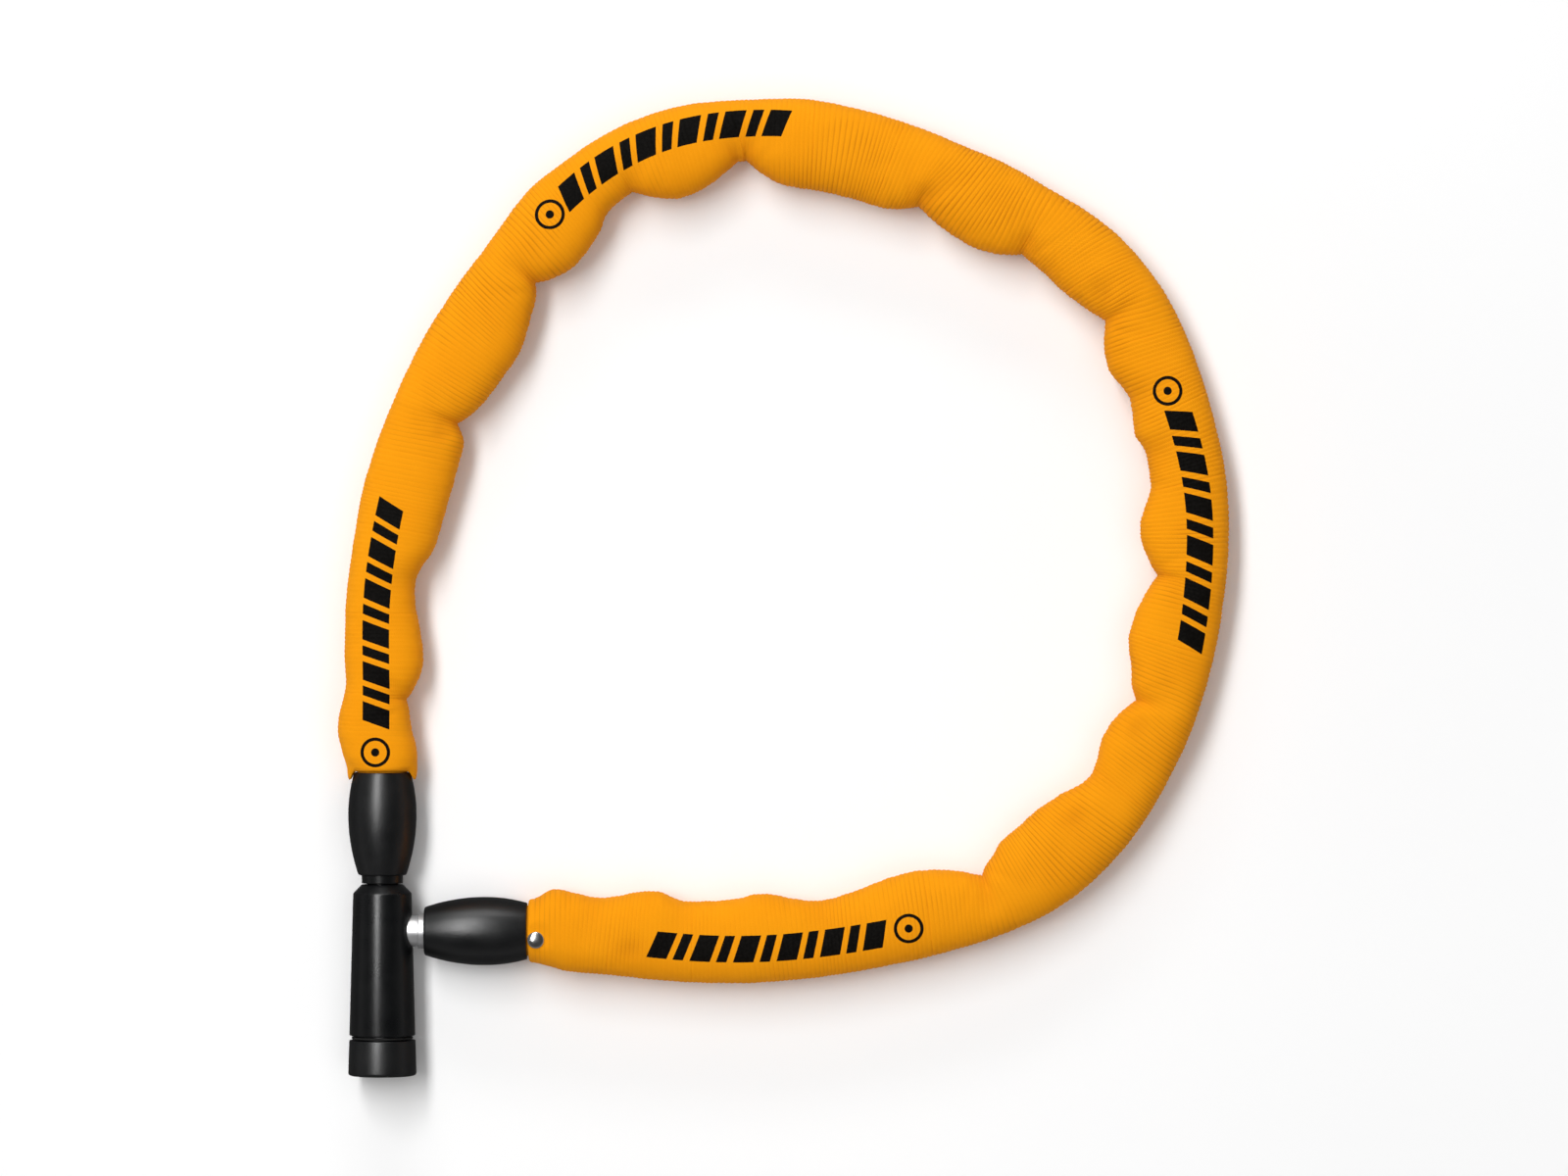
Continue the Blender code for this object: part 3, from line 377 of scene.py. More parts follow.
def sleeve_grid():
    """Every point of the sleeve as rings of SEGMENTS points, with what the fabric's finish needs there."""
    at_sides, on_top, ring_number = ring_places()
    turn = (np.arange(SEGMENTS) / SEGMENTS)[None, :]
    angle = 2 * math.pi * (turn - 0.25)                     # from the underside round by the outer side
    rng = np.random.default_rng(11)

    ends = np.minimum(on_top - LOCK_MOUTH_AT, BOLT_MOUTH_AT - on_top)
    free = ease((ends - RIM_END) / RIM_EASE)
    power = 2 + (SQUARENESS - 2) * ease((ends - 0.5) / 4)
    cos, sin = np.cos(angle), np.sin(angle)
    out = np.sign(cos) * np.abs(cos) ** (2 / power)         # 1 on the outer side, -1 on the inner side
    rise = np.sign(sin) * np.abs(sin) ** (2 / power)
    inner = ease((0.55 - out) / 1.3)
    base = on_top + (at_sides - on_top) * ease((0.62 - np.abs(rise)) / 0.45)

    # the ribs close up at the folds, and lean one way or the other between them
    shift = gentle(RIB_LEAN, base) * out + RIB_WANDER * ripple(rng, base, 6 * out, (17, 29, 47), 0.8)
    for at, _, kind in INNER_SIDE:
        if kind == "fold":
            shift = shift - GATHER * (base - at) * bell((base - at) / GATHER_REACH) * inner
    place = base + shift * free

    outer_wave = OUTER_WAVE * ripple(rng, place, 0, (5.3, 8.1, 13.7, 21), 0) * free
    inner_wave = INNER_WAVE * ripple(rng, place, 0, (4.1, 6.3, 9.7), 0) * free
    outer_half = shaped(OUTER_SIDE, place) + outer_wave
    inner_half = shaped(INNER_SIDE, place) + inner_wave
    rim = np.array(RIM_PROFILE)
    height = HALF_HEIGHT - gentle([(m, SAG * (k % 2)) for k, m in enumerate(link_middles)], place)
    height = rim[-1, 3] + (height - rim[-1, 3]) * free
    for rows, width in ((slice(None, len(rim)), rim[:, 1]), (slice(-len(rim), None), rim[::-1, 3])):
        outer_half[rows] = inner_half[rows] = width[:, None]
    height[:len(rim)], height[-len(rim):] = rim[:, 3:], rim[::-1, 3:]

    half = (outer_half + inner_half) / 2
    across = (outer_half - inner_half) / 2 + half * out
    up = height * rise
    crease = crease_at(place, out, half, inner)
    dimple = dimple_at(place, across, rise)
    slack = ripple(rng, place, across, (7.3, 11.9, 17.1), 0.6) * ease((0.9 - np.abs(out)) / 0.9)
    upper = np.abs(rise) ** 0.7
    drawn_in = CREASE_DEPTH * crease + DIMPLE_DEPTH * dimple + SLACK_DEPTH * slack
    up = up - np.sign(rise) * free * upper * drawn_in

    # ribs: each ring moves in or out along the section's normal
    show = gentle(RIB_SHOW, place) * (0.72 + 0.28 * ripple(rng, place, across, (9.1, 19, 43), 1.2))
    show = np.clip(show, 0, 1)
    groove = (ring_number % RINGS_A_RIB == 0) * (ring_number >= 0) + 0 * across
    lift = RIB_HEIGHT * (0.3 + 0.7 * show) * np.where(groove > 0, -1.0, 0.5) * free
    normal_out = np.sign(out) * np.abs(out) ** (power - 1) / half
    normal_up = np.sign(rise) * np.abs(rise) ** (power - 1) / height
    length = np.hypot(normal_out, normal_up)
    across = across + lift * normal_out / length
    up = up + lift * normal_up / length

    middle_x, middle_y = np.interp(place, reach, line[:, 0]), np.interp(place, reach, line[:, 1])
    ahead_x, ahead_y = np.interp(place, reach, heading[:, 0]), np.interp(place, reach, heading[:, 1])
    x = middle_x - ahead_y * across
    y = middle_y + ahead_x * across
    z = AXIS_Z + up
    from_rivet = np.hypot(x - RIVET[0], y - RIVET[1])
    pulled = ease((PULL_REACH[0] - from_rivet) / PULL_REACH[1]) * (z > AXIS_Z) * (ends > 0.3)
    z = z - np.maximum(z - (RIVET_SEAT_Z - 0.03), 0) * pulled
    z = np.maximum(z, LOWEST_Z)
    grid = np.stack([x, y, z], axis=2) * MM
    facts = {
        "along": place + 0 * across,
        "threads": turn * THREADS + 0 * across,
        "across": across,
        "top": rise + 0 * across,
        # where the finish paints shade in the rib grooves
        "groove": groove * show,
        # where the finish paints shade: the creases and the dimples
        "crease": np.clip(crease + 0.9 * dimple, 0, 1),
    }
    return grid, facts, on_top[:, 0]


def sleeve_piece(name, grid, facts, start, stop, material):
    """The sleeve's rings from start to stop as one open tube."""
    rings = grid[start:stop + 1]
    count = len(rings)
    vertices = rings.reshape(-1, 3)
    this = np.arange(SEGMENTS)
    following = (this + 1) % SEGMENTS
    row = np.arange(count - 1)[:, None] * SEGMENTS
    next_row = row + SEGMENTS
    faces = np.stack([row + this, next_row + this, next_row + following, row + following], axis=2)
    mesh = bpy.data.meshes.new(name)
    mesh.from_pydata(vertices.tolist(), [], faces.reshape(-1, 4).tolist())
    for key, values in facts.items():
        attribute = mesh.attributes.new(key, "FLOAT", "POINT")
        attribute.data.foreach_set("value", values[start:stop + 1].ravel().astype(np.float32))
    form = bmesh.new()
    form.from_mesh(mesh)
    bmesh.ops.recalc_face_normals(form, faces=form.faces)
    middle = Vector(rings.mean(axis=(0, 1)))
    if sum(face.normal.dot(face.calc_center_median() - middle) for face in form.faces) < 0:
        bmesh.ops.reverse_faces(form, faces=form.faces)
    form.to_mesh(mesh)
    form.free()
    mesh.shade_smooth()
    return new_object(name, mesh, material)


def make_sleeve(material):
    """One piece for each joint of the chain, cut in the middle of every link, in a groove between ribs."""
    grid, facts, base = sleeve_grid()
    rim_rings = len(RIM_PROFILE)
    cuts = [0]
    for middle in link_middles:
        rib = round((int(np.argmin(np.abs(base - middle))) - rim_rings) / RINGS_A_RIB)
        cuts.append(rim_rings + rib * RINGS_A_RIB)
    cuts.append(len(base) - 1)
    for number, joint in enumerate(chain_joints):
        start, stop = cuts[number], cuts[number + 1]
        piece = sleeve_piece(f"sleeve_{number + 1:02d}", grid, facts, start, stop, material)
        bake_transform(piece)
        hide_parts("fabric_sleeve")


# --- node helpers for the finishes -----------------------------------------------------------
class Nodes:
    """Builds a material's nodes with few words."""

    def __init__(self, name):
        self.material = bpy.data.materials.new(name)
        self.material.use_nodes = True
        self.tree = self.material.node_tree
        self.shader = self.tree.nodes["Principled BSDF"]

    def add(self, kind, values=None, **settings):
        item = self.tree.nodes.new(kind)
        for key, value in settings.items():
            setattr(item, key, value)
        for key, value in (values or {}).items():
            self.put(item.inputs[key], value)
        return item

    def put(self, socket, value):
        if isinstance(value, bpy.types.NodeSocket):
            self.tree.links.new(value, socket)
        else:
            socket.default_value = value

    def math(self, operation, a, b=0.0):
        return self.add("ShaderNodeMath", {0: a, 1: b}, operation=operation).outputs[0]

    def times(self, a, b):
        return self.math("MULTIPLY", a, b)

    def plus(self, a, b):
        return self.math("ADD", a, b)

    def minus(self, a, b):
        return self.math("SUBTRACT", a, b)

    def between(self, value, low, high):
        return self.times(self.math("GREATER_THAN", value, low), self.math("LESS_THAN", value, high))

    def within(self, value, limit):
        return self.math("LESS_THAN", self.math("ABSOLUTE", value), limit)

    def straight(self, value, low, high, to_low, to_high, kind="LINEAR"):
        """Value between low and high carried to between to_low and to_high."""
        limits = {"Value": value, "From Min": low, "From Max": high, "To Min": to_low, "To Max": to_high}
        return self.add("ShaderNodeMapRange", limits, interpolation_type=kind).outputs["Result"]

    def ramp(self, value, low, high):
        """0 below low and 1 above high, with a smooth step between them."""
        return self.straight(value, low, high, 0.0, 1.0, "SMOOTHSTEP")

    def noise(self, scale, detail=3.0, roughness=0.55, stretch=None):
        """Noise fixed to the piece, scale in features a metre."""
        where = self.add("ShaderNodeTexCoord").outputs["Object"]
        if stretch:
            where = self.add("ShaderNodeMapping", {"Vector": where, "Scale": stretch}).outputs["Vector"]
        values = {"Vector": where, "Scale": scale, "Detail": detail, "Roughness": roughness}
        return self.add("ShaderNodeTexNoise", values).outputs["Fac"]

    def mix(self, share, a, b):
        item = self.add("ShaderNodeMix", data_type="RGBA")
        self.put(item.inputs["Factor"], share)
        colours = [socket for socket in item.inputs if socket.type == "RGBA"]
        for socket, colour in zip(colours, (a, b)):
            self.put(socket, (*colour, 1.0) if isinstance(colour, tuple) else colour)
        return next(socket for socket in item.outputs if socket.type == "RGBA")

    def bump(self, height, strength, distance):
        values = {"Height": height, "Strength": strength, "Distance": distance}
        return self.add("ShaderNodeBump", values).outputs["Normal"]

    def finish(self, **sockets):
        for key, value in sockets.items():
            label = key.replace("_", " ").title().replace("Ior", "IOR")
            self.put(self.shader.inputs[label], value)
        return self.material


ORANGE = (0.872, 0.317, 0.0044)
ORANGE_IN_PATCHES = (0.855, 0.303, 0.0040)
# painted shade: a darker orange for the creases and dimples
CREASE_SHADE_ORANGE = (0.66, 0.215, 0.004)
# painted shade: a darker orange for the rib grooves
GROOVE_SHADE_ORANGE = (0.52, 0.16, 0.003)
ORANGE_BETWEEN_FIBRES = (0.74, 0.25, 0.004)
INK = (0.0015, 0.0014, 0.0013)
WORN_INK = (0.005, 0.0045, 0.004)


def print_ink(n, fact):
    """1 where the sleeve is printed: a plain ring with a dot, then slanted bars, wide and narrow in turn."""
    ink = 0.0
    for ring_at, ring_out, start, end, out_start, out_end in PRINTS:
        over = n.minus(fact["across"], n.straight(fact["along"], start, end, out_start, out_end))
        lean = n.minus(fact["along"], n.times(over, PRINT_SLANT))
        inside = n.times(n.between(lean, start, end), n.within(over, PRINT_HALF_HEIGHT))
        step = n.math("FRACT", n.straight(lean, start, end, 0.0, PAIRS_OF_BARS))
        bars = n.math("MAXIMUM", n.math("LESS_THAN", step, WIDE_BAR), n.between(step, *NARROW_BAR))
        bars = n.times(bars, inside)
        off_along = n.math("POWER", n.minus(fact["along"], ring_at), 2.0)
        off_across = n.math("POWER", n.minus(fact["across"], ring_out), 2.0)
        radius = n.math("SQRT", n.plus(off_along, off_across))
        ring = n.within(n.minus(radius, RING_R), RING_HALF_WIDTH)
        ring = n.math("MAXIMUM", ring, n.math("LESS_THAN", radius, DOT_R))
        ink = n.math("MAXIMUM", ink, n.math("MAXIMUM", bars, ring))
    return n.times(ink, n.math("GREATER_THAN", fact["top"], 0.0))


def fabric_finish():
    n = Nodes("sleeve_fabric")
    names = ("along", "across", "top", "groove", "crease", "threads")
    fact = {name: n.add("ShaderNodeAttribute", attribute_name=name).outputs["Fac"] for name in names}
    ink = print_ink(n, fact)
    # ribs: painted shade in the grooves, fading in patches
    patches = n.ramp(n.noise(48, 2.0), 0.40, 0.60)
    fine = n.noise(2600, 2.0, 0.6)
    groove = n.times(n.ramp(fact["groove"], 0.12, 0.8), n.plus(n.times(patches, 0.8), 0.2))
    orange = n.mix(n.ramp(n.noise(60, 2.0), 0.3, 0.7), ORANGE, ORANGE_IN_PATCHES)
    # painted shade in the creases and dimples, on top of their real hollows
    orange = n.mix(n.times(fact["crease"], 0.42), orange, CREASE_SHADE_ORANGE)
    # painted shade in the rib grooves
    orange = n.mix(n.times(groove, 0.78), orange, GROOVE_SHADE_ORANGE)
    orange = n.mix(n.times(n.ramp(fine, 0.35, 0.75), 0.10), orange, ORANGE_BETWEEN_FIBRES)
    black = n.mix(n.ramp(n.noise(1500, 2.0), 0.35, 0.8), INK, WORN_INK)
    # relief: lengthwise threads passing over and under the ribs, with loose fibres
    ridge = n.math("SINE", n.times(fact["threads"], 2 * math.pi))
    cross = n.math("SINE", n.times(fact["along"], 2 * math.pi / RIB_PITCH))
    weave = n.times(n.plus(n.times(ridge, cross), 1.0), 0.25)
    thread = n.plus(n.times(fine, 0.6), weave)
    rough = n.minus(n.straight(fine, 0.2, 0.8, 0.80, 0.95), n.times(ink, 0.22))
    return n.finish(
        base_color=n.mix(ink, orange, black), roughness=rough, normal=n.bump(thread, 0.4, 0.00012),
        specular_ior_level=0.06, sheen_weight=0.06, sheen_roughness=0.5, sheen_tint=(1.0, 0.55, 0.12, 1.0),
    )


def speckled(name, dark, light, rough, grain, grain_depth, metallic=0.0, specular=0.5, patch=120.0,
             stretch=None):
    """A finish whose colour, roughness and fine relief all vary over the surface."""
    n = Nodes(name)
    wide = n.noise(patch, 4.0, 0.6)
    fine = n.noise(grain, 3.0, 0.6, stretch)
    colour = n.mix(n.ramp(wide, 0.3, 0.7), dark, light)
    roughness = n.plus(n.straight(wide, 0.25, 0.75, *rough), n.straight(fine, 0.2, 0.8, -0.03, 0.03))
    return n.finish(
        base_color=colour, roughness=roughness, metallic=metallic, specular_ior_level=specular,
        normal=n.bump(fine, 0.5, grain_depth),
    )


def make_finishes():
    return {
        "sleeve_fabric": fabric_finish(),
        "black_plastic": speckled(
            "black_plastic", (0.0022, 0.0026, 0.003), (0.0045, 0.0048, 0.0052), (0.34, 0.41), 2400, 0.00005,
            specular=0.75),
        "black_paint": speckled(
            "black_paint", (0.0018, 0.0022, 0.0026), (0.004, 0.0043, 0.0047), (0.27, 0.33), 1800, 0.00004,
            specular=0.55),
        "bolt_steel": speckled(
            "bolt_steel", (0.74, 0.74, 0.75), (0.84, 0.84, 0.84), (0.34, 0.46), 900, 0.00001,
            metallic=0.8, stretch=(1.0, 0.12, 0.12)),
        "chain_steel": speckled(
            "chain_steel", (0.36, 0.36, 0.37), (0.50, 0.50, 0.50), (0.34, 0.52), 1200, 0.00003,
            metallic=1.0, patch=260.0),
        "brass": speckled(
            "brass", (0.62, 0.42, 0.16), (0.76, 0.56, 0.25), (0.26, 0.42), 1400, 0.00001, metallic=1.0),
        "spring_steel": speckled(
            "spring_steel", (0.42, 0.42, 0.43), (0.60, 0.60, 0.61), (0.22, 0.34), 3000, 0.000005,
            metallic=1.0),
        "rivet_chrome": speckled(
            "rivet_chrome", (0.78, 0.78, 0.79), (0.88, 0.88, 0.88), (0.16, 0.24), 2500, 0.000008,
            metallic=1.0, patch=500.0),
        "rubber": speckled(
            "rubber", (0.008, 0.008, 0.008), (0.018, 0.018, 0.018), (0.72, 0.86), 3000, 0.00002,
            specular=0.3),
    }


# --- turned pieces ---------------------------------------------------------------------------
STEPS = 96                  # corners round a turned piece
FINE_STEPS = 128
RIVET_STEPS = 64
BOLT_HOLE_STEPS = 64
EYE_HOLE_STEPS = 48
PIN_HOLE_STEPS = 24
EDGE = {"ferrule": 0.16, "body": 0.3, "cap": 0.22, "seal": 0.12, "neck": 0.2, "bolt": 0.18}    # rounding
TINY = 1e-6                 # nearer than this is the same place
CORNER_STEPS = 4
LEAST_TURN = 14.0           # a corner that turns less, in degrees, stays as it is
BELLY_STEPS = 32
BEYOND = 10.0               # a cutter that goes right through ends this far from the axis


def softened(profile, radius):
    """A closed (radius, place) profile with its corners rounded."""
    points = []
    count = len(profile)
    for i, here in enumerate(profile):
        before, after = Vector(profile[i - 1]), Vector(profile[(i + 1) % count])
        here = Vector(here)
        back, ahead = before - here, after - here
        kept = min(back.length, ahead.length) < TINY or here.x < TINY      # doubled, or on the axis
        if kept or 180 - math.degrees(back.angle(ahead)) < LEAST_TURN:
            points.append(tuple(here))
            continue
        size = min(radius, 0.4 * back.length, 0.4 * ahead.length)
        start, end = here + back.normalized() * size, here + ahead.normalized() * size
        for k in range(CORNER_STEPS + 1):
            t = k / CORNER_STEPS
            points.append(tuple(start * (1 - t) ** 2 + here * 2 * t * (1 - t) + end * t ** 2))
    return points


def turned(name, profile, along, steps=STEPS, centre=None):
    """A solid of revolution about the lock's axis (Y), the bolt's axis (X) or an upright axis (Z)."""
    angles = 2 * math.pi * np.arange(steps) / steps
    vertices = []
    for radius, place in profile:
        aside, up = radius * np.cos(angles), radius * np.sin(angles)
        level = np.full(steps, place)
        if along == "Y":
            ring = np.stack([LOCK_X + aside, level, AXIS_Z + up], axis=1)
        elif along == "X":
            ring = np.stack([level, BOLT_Y + aside, AXIS_Z + up], axis=1)
        else:
            ring = np.stack([centre[0] + aside, centre[1] + up, level], axis=1)
        vertices.append(ring)
    vertices = np.concatenate(vertices) * MM
    rows = len(profile)
    faces = []
    for i in range(rows):
        a, b = i * steps, ((i + 1) % rows) * steps
        if max(profile[i][0], profile[(i + 1) % rows][0]) < TINY:      # both on the axis
            continue
        for k in range(steps):
            m = (k + 1) % steps
            faces.append((a + k, a + m, b + m, b + k))
    mesh = bpy.data.meshes.new(name)
    mesh.from_pydata(vertices.tolist(), [], faces)
    clean(mesh)
    return new_object(name, mesh)


def clean(mesh):
    """Merges doubled points, drops empty faces and turns every face outwards."""
    form = bmesh.new()
    form.from_mesh(mesh)
    bmesh.ops.remove_doubles(form, verts=form.verts, dist=1e-7)
    bmesh.ops.dissolve_degenerate(form, edges=form.edges, dist=1e-8)
    bmesh.ops.recalc_face_normals(form, faces=form.faces)
    form.to_mesh(mesh)
    form.free()


def block(name, low, high):
    """A box between its lowest and highest corners."""
    mesh = bpy.data.meshes.new(name)
    form = bmesh.new()
    bmesh.ops.create_cube(form, size=1.0)
    size, middle = Vector(high) - Vector(low), (Vector(high) + Vector(low)) / 2
    for vertex in form.verts:
        vertex.co = (vertex.co * size + middle) * MM
    form.to_mesh(mesh)
    form.free()
    return new_object(name, mesh)


def plate(name, outline, low_z, high_z):
    """A flat plate between two heights, from an outline seen from above."""
    mesh = bpy.data.meshes.new(name)
    count = len(outline)
    vertices = [(x * MM, y * MM, z * MM) for z in (low_z, high_z) for x, y in outline]
    faces = [tuple(range(count)), tuple(range(count, 2 * count))]
    faces += [(i, (i + 1) % count, count + (i + 1) % count, count + i) for i in range(count)]
    mesh.from_pydata(vertices, [], faces)
    clean(mesh)
    return new_object(name, mesh)


def combine(item, others, operation):
    """Joins or cuts item with the others, which are used up."""
    for other in others:
        step = item.modifiers.new(other.name, "BOOLEAN")
        step.operation = operation
        step.solver = "EXACT"
        step.object = other
    bpy.context.view_layer.update()
    depsgraph = bpy.context.evaluated_depsgraph_get()
    mesh = bpy.data.meshes.new_from_object(item.evaluated_get(depsgraph))
    item.modifiers.clear()
    item.data = mesh
    mesh.name = item.name
    for other in others:
        bpy.data.objects.remove(other)
    clean(mesh)


def hole(name, radius, start, end, along, centre=None, steps=EYE_HOLE_STEPS):
    """The round cutter of a hole, between two places on its axis."""
    return turned(name, [(0, start), (radius, start), (radius, end), (0, end)], along, steps, centre)


def pin_hole(name, radius, low, high, centre):
    """The cutter of an upright pin's hole, between two heights measured from the lock's axis."""
    return hole(name, radius, AXIS_Z + low, AXIS_Z + high, "Z", centre, PIN_HOLE_STEPS)


def dress(item, finish, slot, body, node):
    """Gives a finished piece its finish and shading, and puts it in the place of its CAD node."""
    item.data.materials.clear()
    item.data.materials.append(finish[slot])
    item.data.shade_smooth()
    item.data.set_sharp_from_angle(angle=math.radians(32))
    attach(item, body)
    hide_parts(node)


def barrel(mouth, neck=None):
    """Profile of a ferrule whose tail points to lower values: a smooth belly outside, then the bores."""
    tail = mouth - FERRULE_LENGTH
    outside = []
    for i in range(BELLY_STEPS + 1):
        at = (FERRULE_LENGTH - TAIL_CORNER) * i / BELLY_STEPS
        if at < BELLY_AT:
            radius = BELLY_R - (BELLY_R - MOUTH_R) * (1 - at / BELLY_AT) ** 2
        else:
            radius = BELLY_R - (BELLY_R - TAIL_R) * ((at - BELLY_AT) / (FERRULE_LENGTH - BELLY_AT)) ** 2
        outside.append((radius, mouth - at))
    last = outside[-1][0]
    for angle in (30, 60, 90):
        a = math.radians(angle)
        outside.append((last - TAIL_CORNER * (1 - math.cos(a)), tail + TAIL_CORNER * (1 - math.sin(a))))
    deep = mouth - MOUTH_DEPTH
    inside = [(FERRULE_BORE, deep), (MOUTH_BORE, deep), (MOUTH_BORE, mouth)]
    if neck:
        wall = tail + BOLT_FERRULE_WALL
        inside = [(neck, tail), (neck, wall), (FERRULE_BORE, wall)] + inside
    else:
        inside = [(FERRULE_BORE, tail)] + inside
    return softened(outside + inside, EDGE["ferrule"])


def add_eye(item, name, x, y, direction):
    """Adds the tongue that the last link hooks into, pointing in a direction given in degrees."""
    rim = [(EYE_R * math.cos(a), EYE_R * math.sin(a)) for a in np.linspace(-math.pi / 2, math.pi / 2, 33)]
    outline = rim + [(-TONGUE_LENGTH, TONGUE_HALF_WIDTH), (-TONGUE_LENGTH, -TONGUE_HALF_WIDTH)]
    cos, sin = math.cos(math.radians(direction)), math.sin(math.radians(direction))
    outline = [(x + px * cos - py * sin, y + px * sin + py * cos) for px, py in outline]
    tongue = plate(name, outline, AXIS_Z - EYE_HALF_THICKNESS, AXIS_Z + EYE_HALF_THICKNESS)
    combine(item, [tongue], "UNION")


def make_ferrules(finish):
    ferrule = turned("ferrule_on_lock", barrel(LOCK_MOUTH_Y), "Y")
    dress(ferrule, finish, "black_plastic", "lock_body", "lock_ferrule")
    ferrule = turned("ferrule_on_bolt", barrel(BOLT_MOUTH_X, BOLT_FERRULE_NECK), "X")
    dress(ferrule, finish, "black_plastic", "bolt", "bolt_ferrule")


def make_lock_body(finish):
    """A slim tapered bar with a coned front, bored for anchor, bolt, pawl and cylinder."""
    bore = SHANK_R + GAP
    shank_end = SHANK_END_Y - GAP
    profile = [
        (0, shank_end), (bore, shank_end), (bore, HOUSING_FRONT_Y), (BOSS_R, HOUSING_FRONT_Y),
        HOUSING_CONE_END, HOUSING_REAR,
        (CHAMBER_R, HOUSING_REAR[1]), (CHAMBER_R, CHAMBER_FRONT_Y), (0, CHAMBER_FRONT_Y),
    ]
    shell = turned("lock_body_shell", softened(profile, EDGE["body"]), "Y", FINE_STEPS)
    slot_low = (LOCK_X - PAWL_SLOT_HALF_WIDTH, PAWL_SLOT_Y[0], AXIS_Z + PAWL_SLOT_HEIGHTS[0])
    slot_high = (LOCK_X + PAWL_SLOT_HALF_WIDTH, PAWL_SLOT_Y[1], AXIS_Z + PAWL_SLOT_HEIGHTS[1])
    anchor_pin, core_pin = (LOCK_X, CROSS_PIN_Y), (LOCK_X, CORE_PIN_Y)
    combine(shell, [
        hole("bolt_hole", bore, BOLT_TIP_X - END_GAP, LOCK_X + BEYOND, "X", steps=BOLT_HOLE_STEPS),
        pin_hole("anchor_pin_hole", CROSS_PIN_R + GAP, -BEYOND, ANCHOR_PIN_HOLE_TOP, anchor_pin),
        pin_hole("core_pin_hole", CORE_PIN_R + GAP, -BEYOND, CORE_PIN_HOLE_TOP, core_pin),
        block("pawl_slot", slot_low, slot_high),
    ], "DIFFERENCE")
    dress(shell, finish, "black_paint", "lock_body", "lock_housing")


def make_end_cap(finish):
    """The cap round the keyhole, with a rounded rear edge and a dished face, and the seal before it."""
    spigot_r, spigot_end = CAP_SPIGOT
    keyhole_r = CAP_DISH[-1][0]
    cap = [CAP_SPIGOT, (spigot_r, CAP_FRONT[1]), CAP_FRONT] + CAP_EDGE + CAP_DISH + [(keyhole_r, spigot_end)]
    cap = turned("key_end_cap", softened(cap, EDGE["cap"]), "Y", FINE_STEPS)
    dress(cap, finish, "black_plastic", "lock_body", "end_cap")
    front, rear = SEAL_Y
    seal = [(SEAL_R, front), (SEAL_R, rear), (CHAMBER_R, rear), (CHAMBER_R, front)]
    seal = turned("groove_seal", softened(seal, EDGE["seal"]), "Y")
    dress(seal, finish, "rubber", "lock_body", "seal_ring")


def make_neck(finish):
    """The anchor: eye and boss inside the ferrule, black neck where it shows, shank inside the lock body."""
    end = LOCK_MOUTH_Y + BOSS_PAST_MOUTH
    eye_y = LOCK_MOUTH_Y + EYE_PAST_MOUTH
    shoulder = HOUSING_FRONT_Y + GAP
    profile = [
        (0, end), (BOSS_R - BOSS_CHAMFER, end), (BOSS_R, end - BOSS_CHAMFER), (BOSS_R, shoulder),
        (SHANK_R, shoulder), (SHANK_R, SHANK_END_Y), (0, SHANK_END_Y),
    ]
    neck = turned("lock_neck", softened(profile, EDGE["neck"]), "Y")
    add_eye(neck, "neck_eye", LOCK_X, eye_y, 90)
    combine(neck, [
        hole("neck_eye_hole", EYE_HOLE_R, AXIS_Z - BEYOND, AXIS_Z + BEYOND, "Z", (LOCK_X, eye_y)),
        pin_hole("cross_pin_hole", CROSS_PIN_R + GAP, -BEYOND, BEYOND, (LOCK_X, CROSS_PIN_Y)),
    ], "DIFFERENCE")
    dress(neck, finish, "black_paint", "lock_body", "lock_anchor")


def make_bolt(finish):
    """Grooved nose, shank and collar in front of the ferrule, boss and eye inside it."""
    end = BOLT_MOUTH_X + BOSS_PAST_MOUTH
    eye_x = BOLT_MOUTH_X + EYE_PAST_MOUTH
    boss_end = BOLT_MOUTH_X - FERRULE_LENGTH + BOLT_FERRULE_WALL + GAP
    collar_r, collar_end = BOLT_COLLAR
    groove_start, groove_end = LOCK_X + BOLT_GROOVE_HALF, LOCK_X - BOLT_GROOVE_HALF
    profile = [
        (0, end), (BOSS_R - BOSS_CHAMFER, end), (BOSS_R, end - BOSS_CHAMFER), (BOSS_R, boss_end),
        (collar_r, boss_end), (collar_r, collar_end), (SHANK_R, collar_end),
        (SHANK_R, groove_start), (BOLT_GROOVE_R, groove_start),
        (BOLT_GROOVE_R, groove_end), (SHANK_R, groove_end),
        (SHANK_R, BOLT_TIP_X + BOLT_TIP_CHAMFER), (SHANK_R - BOLT_TIP_CHAMFER, BOLT_TIP_X), (0, BOLT_TIP_X),
    ]
    bolt = turned("steel_bolt", softened(profile, EDGE["bolt"]), "X")
    add_eye(bolt, "bolt_eye", eye_x, BOLT_Y, 0)
    combine(bolt, [
        hole("bolt_eye_hole", EYE_HOLE_R, AXIS_Z - BEYOND, AXIS_Z + BEYOND, "Z", (eye_x, BOLT_Y)),
        pin_hole("rivet_hole", RIVET_SHANK_R + GAP, RIVET_SHANK_END - END_GAP, BEYOND, RIVET),
    ], "DIFFERENCE")
    dress(bolt, finish, "bolt_steel", "bolt", "locking_bolt")


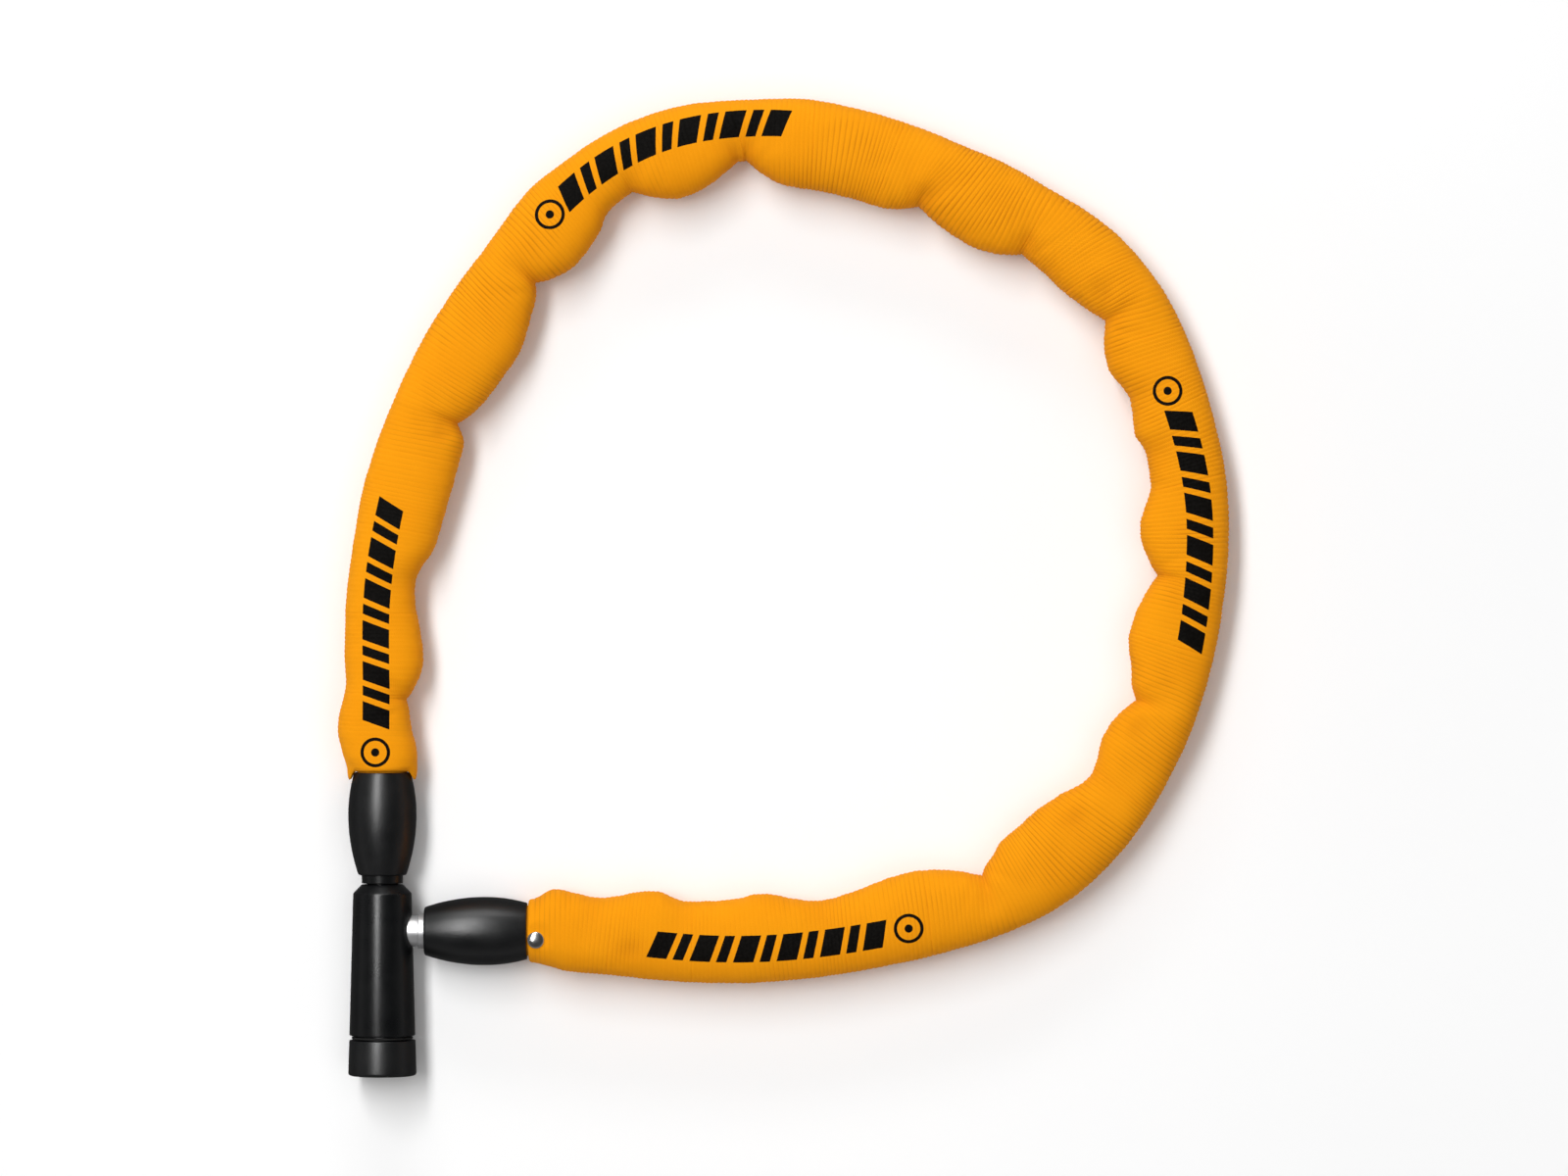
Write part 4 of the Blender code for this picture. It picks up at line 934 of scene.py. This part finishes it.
def make_rivet(finish):
    """A domed rivet with a turned rim."""
    shank_end = AXIS_Z + RIVET_SHANK_END
    profile = []
    for angle in range(0, 91, 6):
        a = math.radians(angle)
        profile.append((RIVET_HEAD_R * math.sin(a), RIVET_SEAT_Z + RIVET_RIM + RIVET_DOME * math.cos(a)))
    profile += [(RIVET_HEAD_R, RIVET_SEAT_Z), (RIVET_SHANK_R, RIVET_SEAT_Z)]
    profile += [(RIVET_SHANK_R, shank_end), (0, shank_end)]
    rivet = turned("rivet_dome", profile, "Z", RIVET_STEPS, RIVET)
    dress(rivet, finish, "rivet_chrome", "bolt", "sleeve_rivet")


# --- finishes of the CAD nodes that stay -----------------------------------------------------
def finish_kept_nodes(finish):
    wafers = range(1, WAFERS + 1)
    kept = {
        "brass": ["cylinder_core", "key_plug"] + [f"wafer_{i}" for i in wafers],
        "bolt_steel": ["core_retaining_pin", "anchor_cross_pin", "plug_cam", "locking_pawl"],
        "spring_steel": ["pawl_spring"] + [f"wafer_spring_{i}" for i in wafers],
        "chain_steel": [f"chain_link_{i:02d}" for i in range(1, LINKS + 1)],
    }
    for slot, names in kept.items():
        for name in names:
            data = frame["nodes"][name].data
            data.materials.clear()
            data.materials.append(finish[slot])


# --- floor, light and camera, in metres ------------------------------------------------------
FLOOR_HALF = 6.0
FLOOR_Z = -0.0004
LENS = 150
SENSOR = 36
SEEN_WIDTH = 0.4            # at the height of the axes
VIEW_CENTRE = (0.00025, -0.00025)
# Strength of the surround by direction, from straight down (0) over the horizon (0.5) to straight up (1).
STUDIO_GLOW = [(0.0, 0.08), (0.46, 0.08), (0.53, 0.25), (0.88, 0.04), (1.0, 0.04)]


def make_floor():
    """A pale floor, which stays out of reflections so that the dark parts mirror the surround."""
    n = Nodes("floor_pale")
    shade = n.mix(n.ramp(n.noise(3.0, 2.0), 0.3, 0.7), (0.93, 0.93, 0.93), (0.96, 0.96, 0.96))
    material = n.finish(base_color=shade, roughness=0.95, specular_ior_level=0.0)
    mesh = bpy.data.meshes.new("floor")
    corners = [(FLOOR_HALF * x, FLOOR_HALF * y, FLOOR_Z) for x, y in ((-1, -1), (1, -1), (1, 1), (-1, 1))]
    mesh.from_pydata(corners, [], [(0, 1, 2, 3)])
    floor = new_object("floor", mesh, material)
    floor.visible_glossy = False


def soft_light(name, centre, target, along, length, width, watts, shiny=True):
    """A rectangular light aimed at the target, its long side along the given direction."""
    data = bpy.data.lights.new(name, "AREA")
    data.shape = "RECTANGLE"
    data.size, data.size_y = width, length
    data.energy = watts
    item = bpy.data.objects.new(name, data)
    bpy.context.scene.collection.objects.link(item)
    item.visible_glossy = shiny
    back = (Vector(centre) - Vector(target)).normalized()
    upward = (Vector(along) - Vector(along).dot(back) * back).normalized()
    turn = Matrix((upward.cross(back), upward, back)).transposed().to_4x4()
    item.matrix_world = Matrix.Translation(centre) @ turn


def make_studio():
    """A grey surround, brightest just above the horizon."""
    world = bpy.data.worlds.new("studio")
    bpy.context.scene.world = world
    world.use_nodes = True
    tree = world.node_tree
    direction = tree.nodes.new("ShaderNodeTexCoord")
    split = tree.nodes.new("ShaderNodeSeparateXYZ")
    lift = tree.nodes.new("ShaderNodeMapRange")
    lift.inputs["From Min"].default_value = -1.0
    grade = tree.nodes.new("ShaderNodeValToRGB")
    grade.color_ramp.interpolation = "EASE"
    stops = grade.color_ramp.elements
    for place, _ in STUDIO_GLOW[1:-1]:
        stops.new(place)
    for stop, (_, strength) in zip(stops, STUDIO_GLOW):
        stop.color = (strength, strength, strength, 1)
    tree.links.new(direction.outputs["Generated"], split.inputs[0])
    tree.links.new(split.outputs["Z"], lift.inputs["Value"])
    tree.links.new(lift.outputs["Result"], grade.inputs["Fac"])
    tree.links.new(grade.outputs["Color"], tree.nodes["Background"].inputs["Color"])


def make_light():
    """A strip over the left side, a low soft light from the top side and a wide fill, in the studio."""
    make_studio()
    soft_light("strip", (-0.78, 0.85, 2.2), (-0.05, 0, 0), (0, 1, 0), 2.2, 0.5, 50)
    soft_light("low_light", (-0.2, 3.0, 1.35), (0, 0, 0), (1, 0, 0), 2.0, 0.5, 20)
    soft_light("fill", (0.3, -0.3, 2.6), (0, 0, 0), (0, 1, 0), 3.0, 3.0, 28, shiny=False)
    bpy.context.scene.view_settings.view_transform = "Standard"


def make_camera():
    """Looks straight down, far off with a long lens."""
    data = bpy.data.cameras.new("camera")
    data.lens = LENS
    data.sensor_width = SENSOR
    data.clip_start, data.clip_end = 0.05, 50
    item = bpy.data.objects.new("camera", data)
    bpy.context.scene.collection.objects.link(item)
    item.location = (*VIEW_CENTRE, AXIS_Z * MM + SEEN_WIDTH * LENS / SENSOR)
    bpy.context.scene.camera = item


def main():
    finish = make_finishes()
    make_sleeve(finish["sleeve_fabric"])
    make_ferrules(finish)
    make_lock_body(finish)
    make_end_cap(finish)
    make_neck(finish)
    make_bolt(finish)
    make_rivet(finish)
    finish_kept_nodes(finish)
    make_floor()
    make_light()
    make_camera()


main()
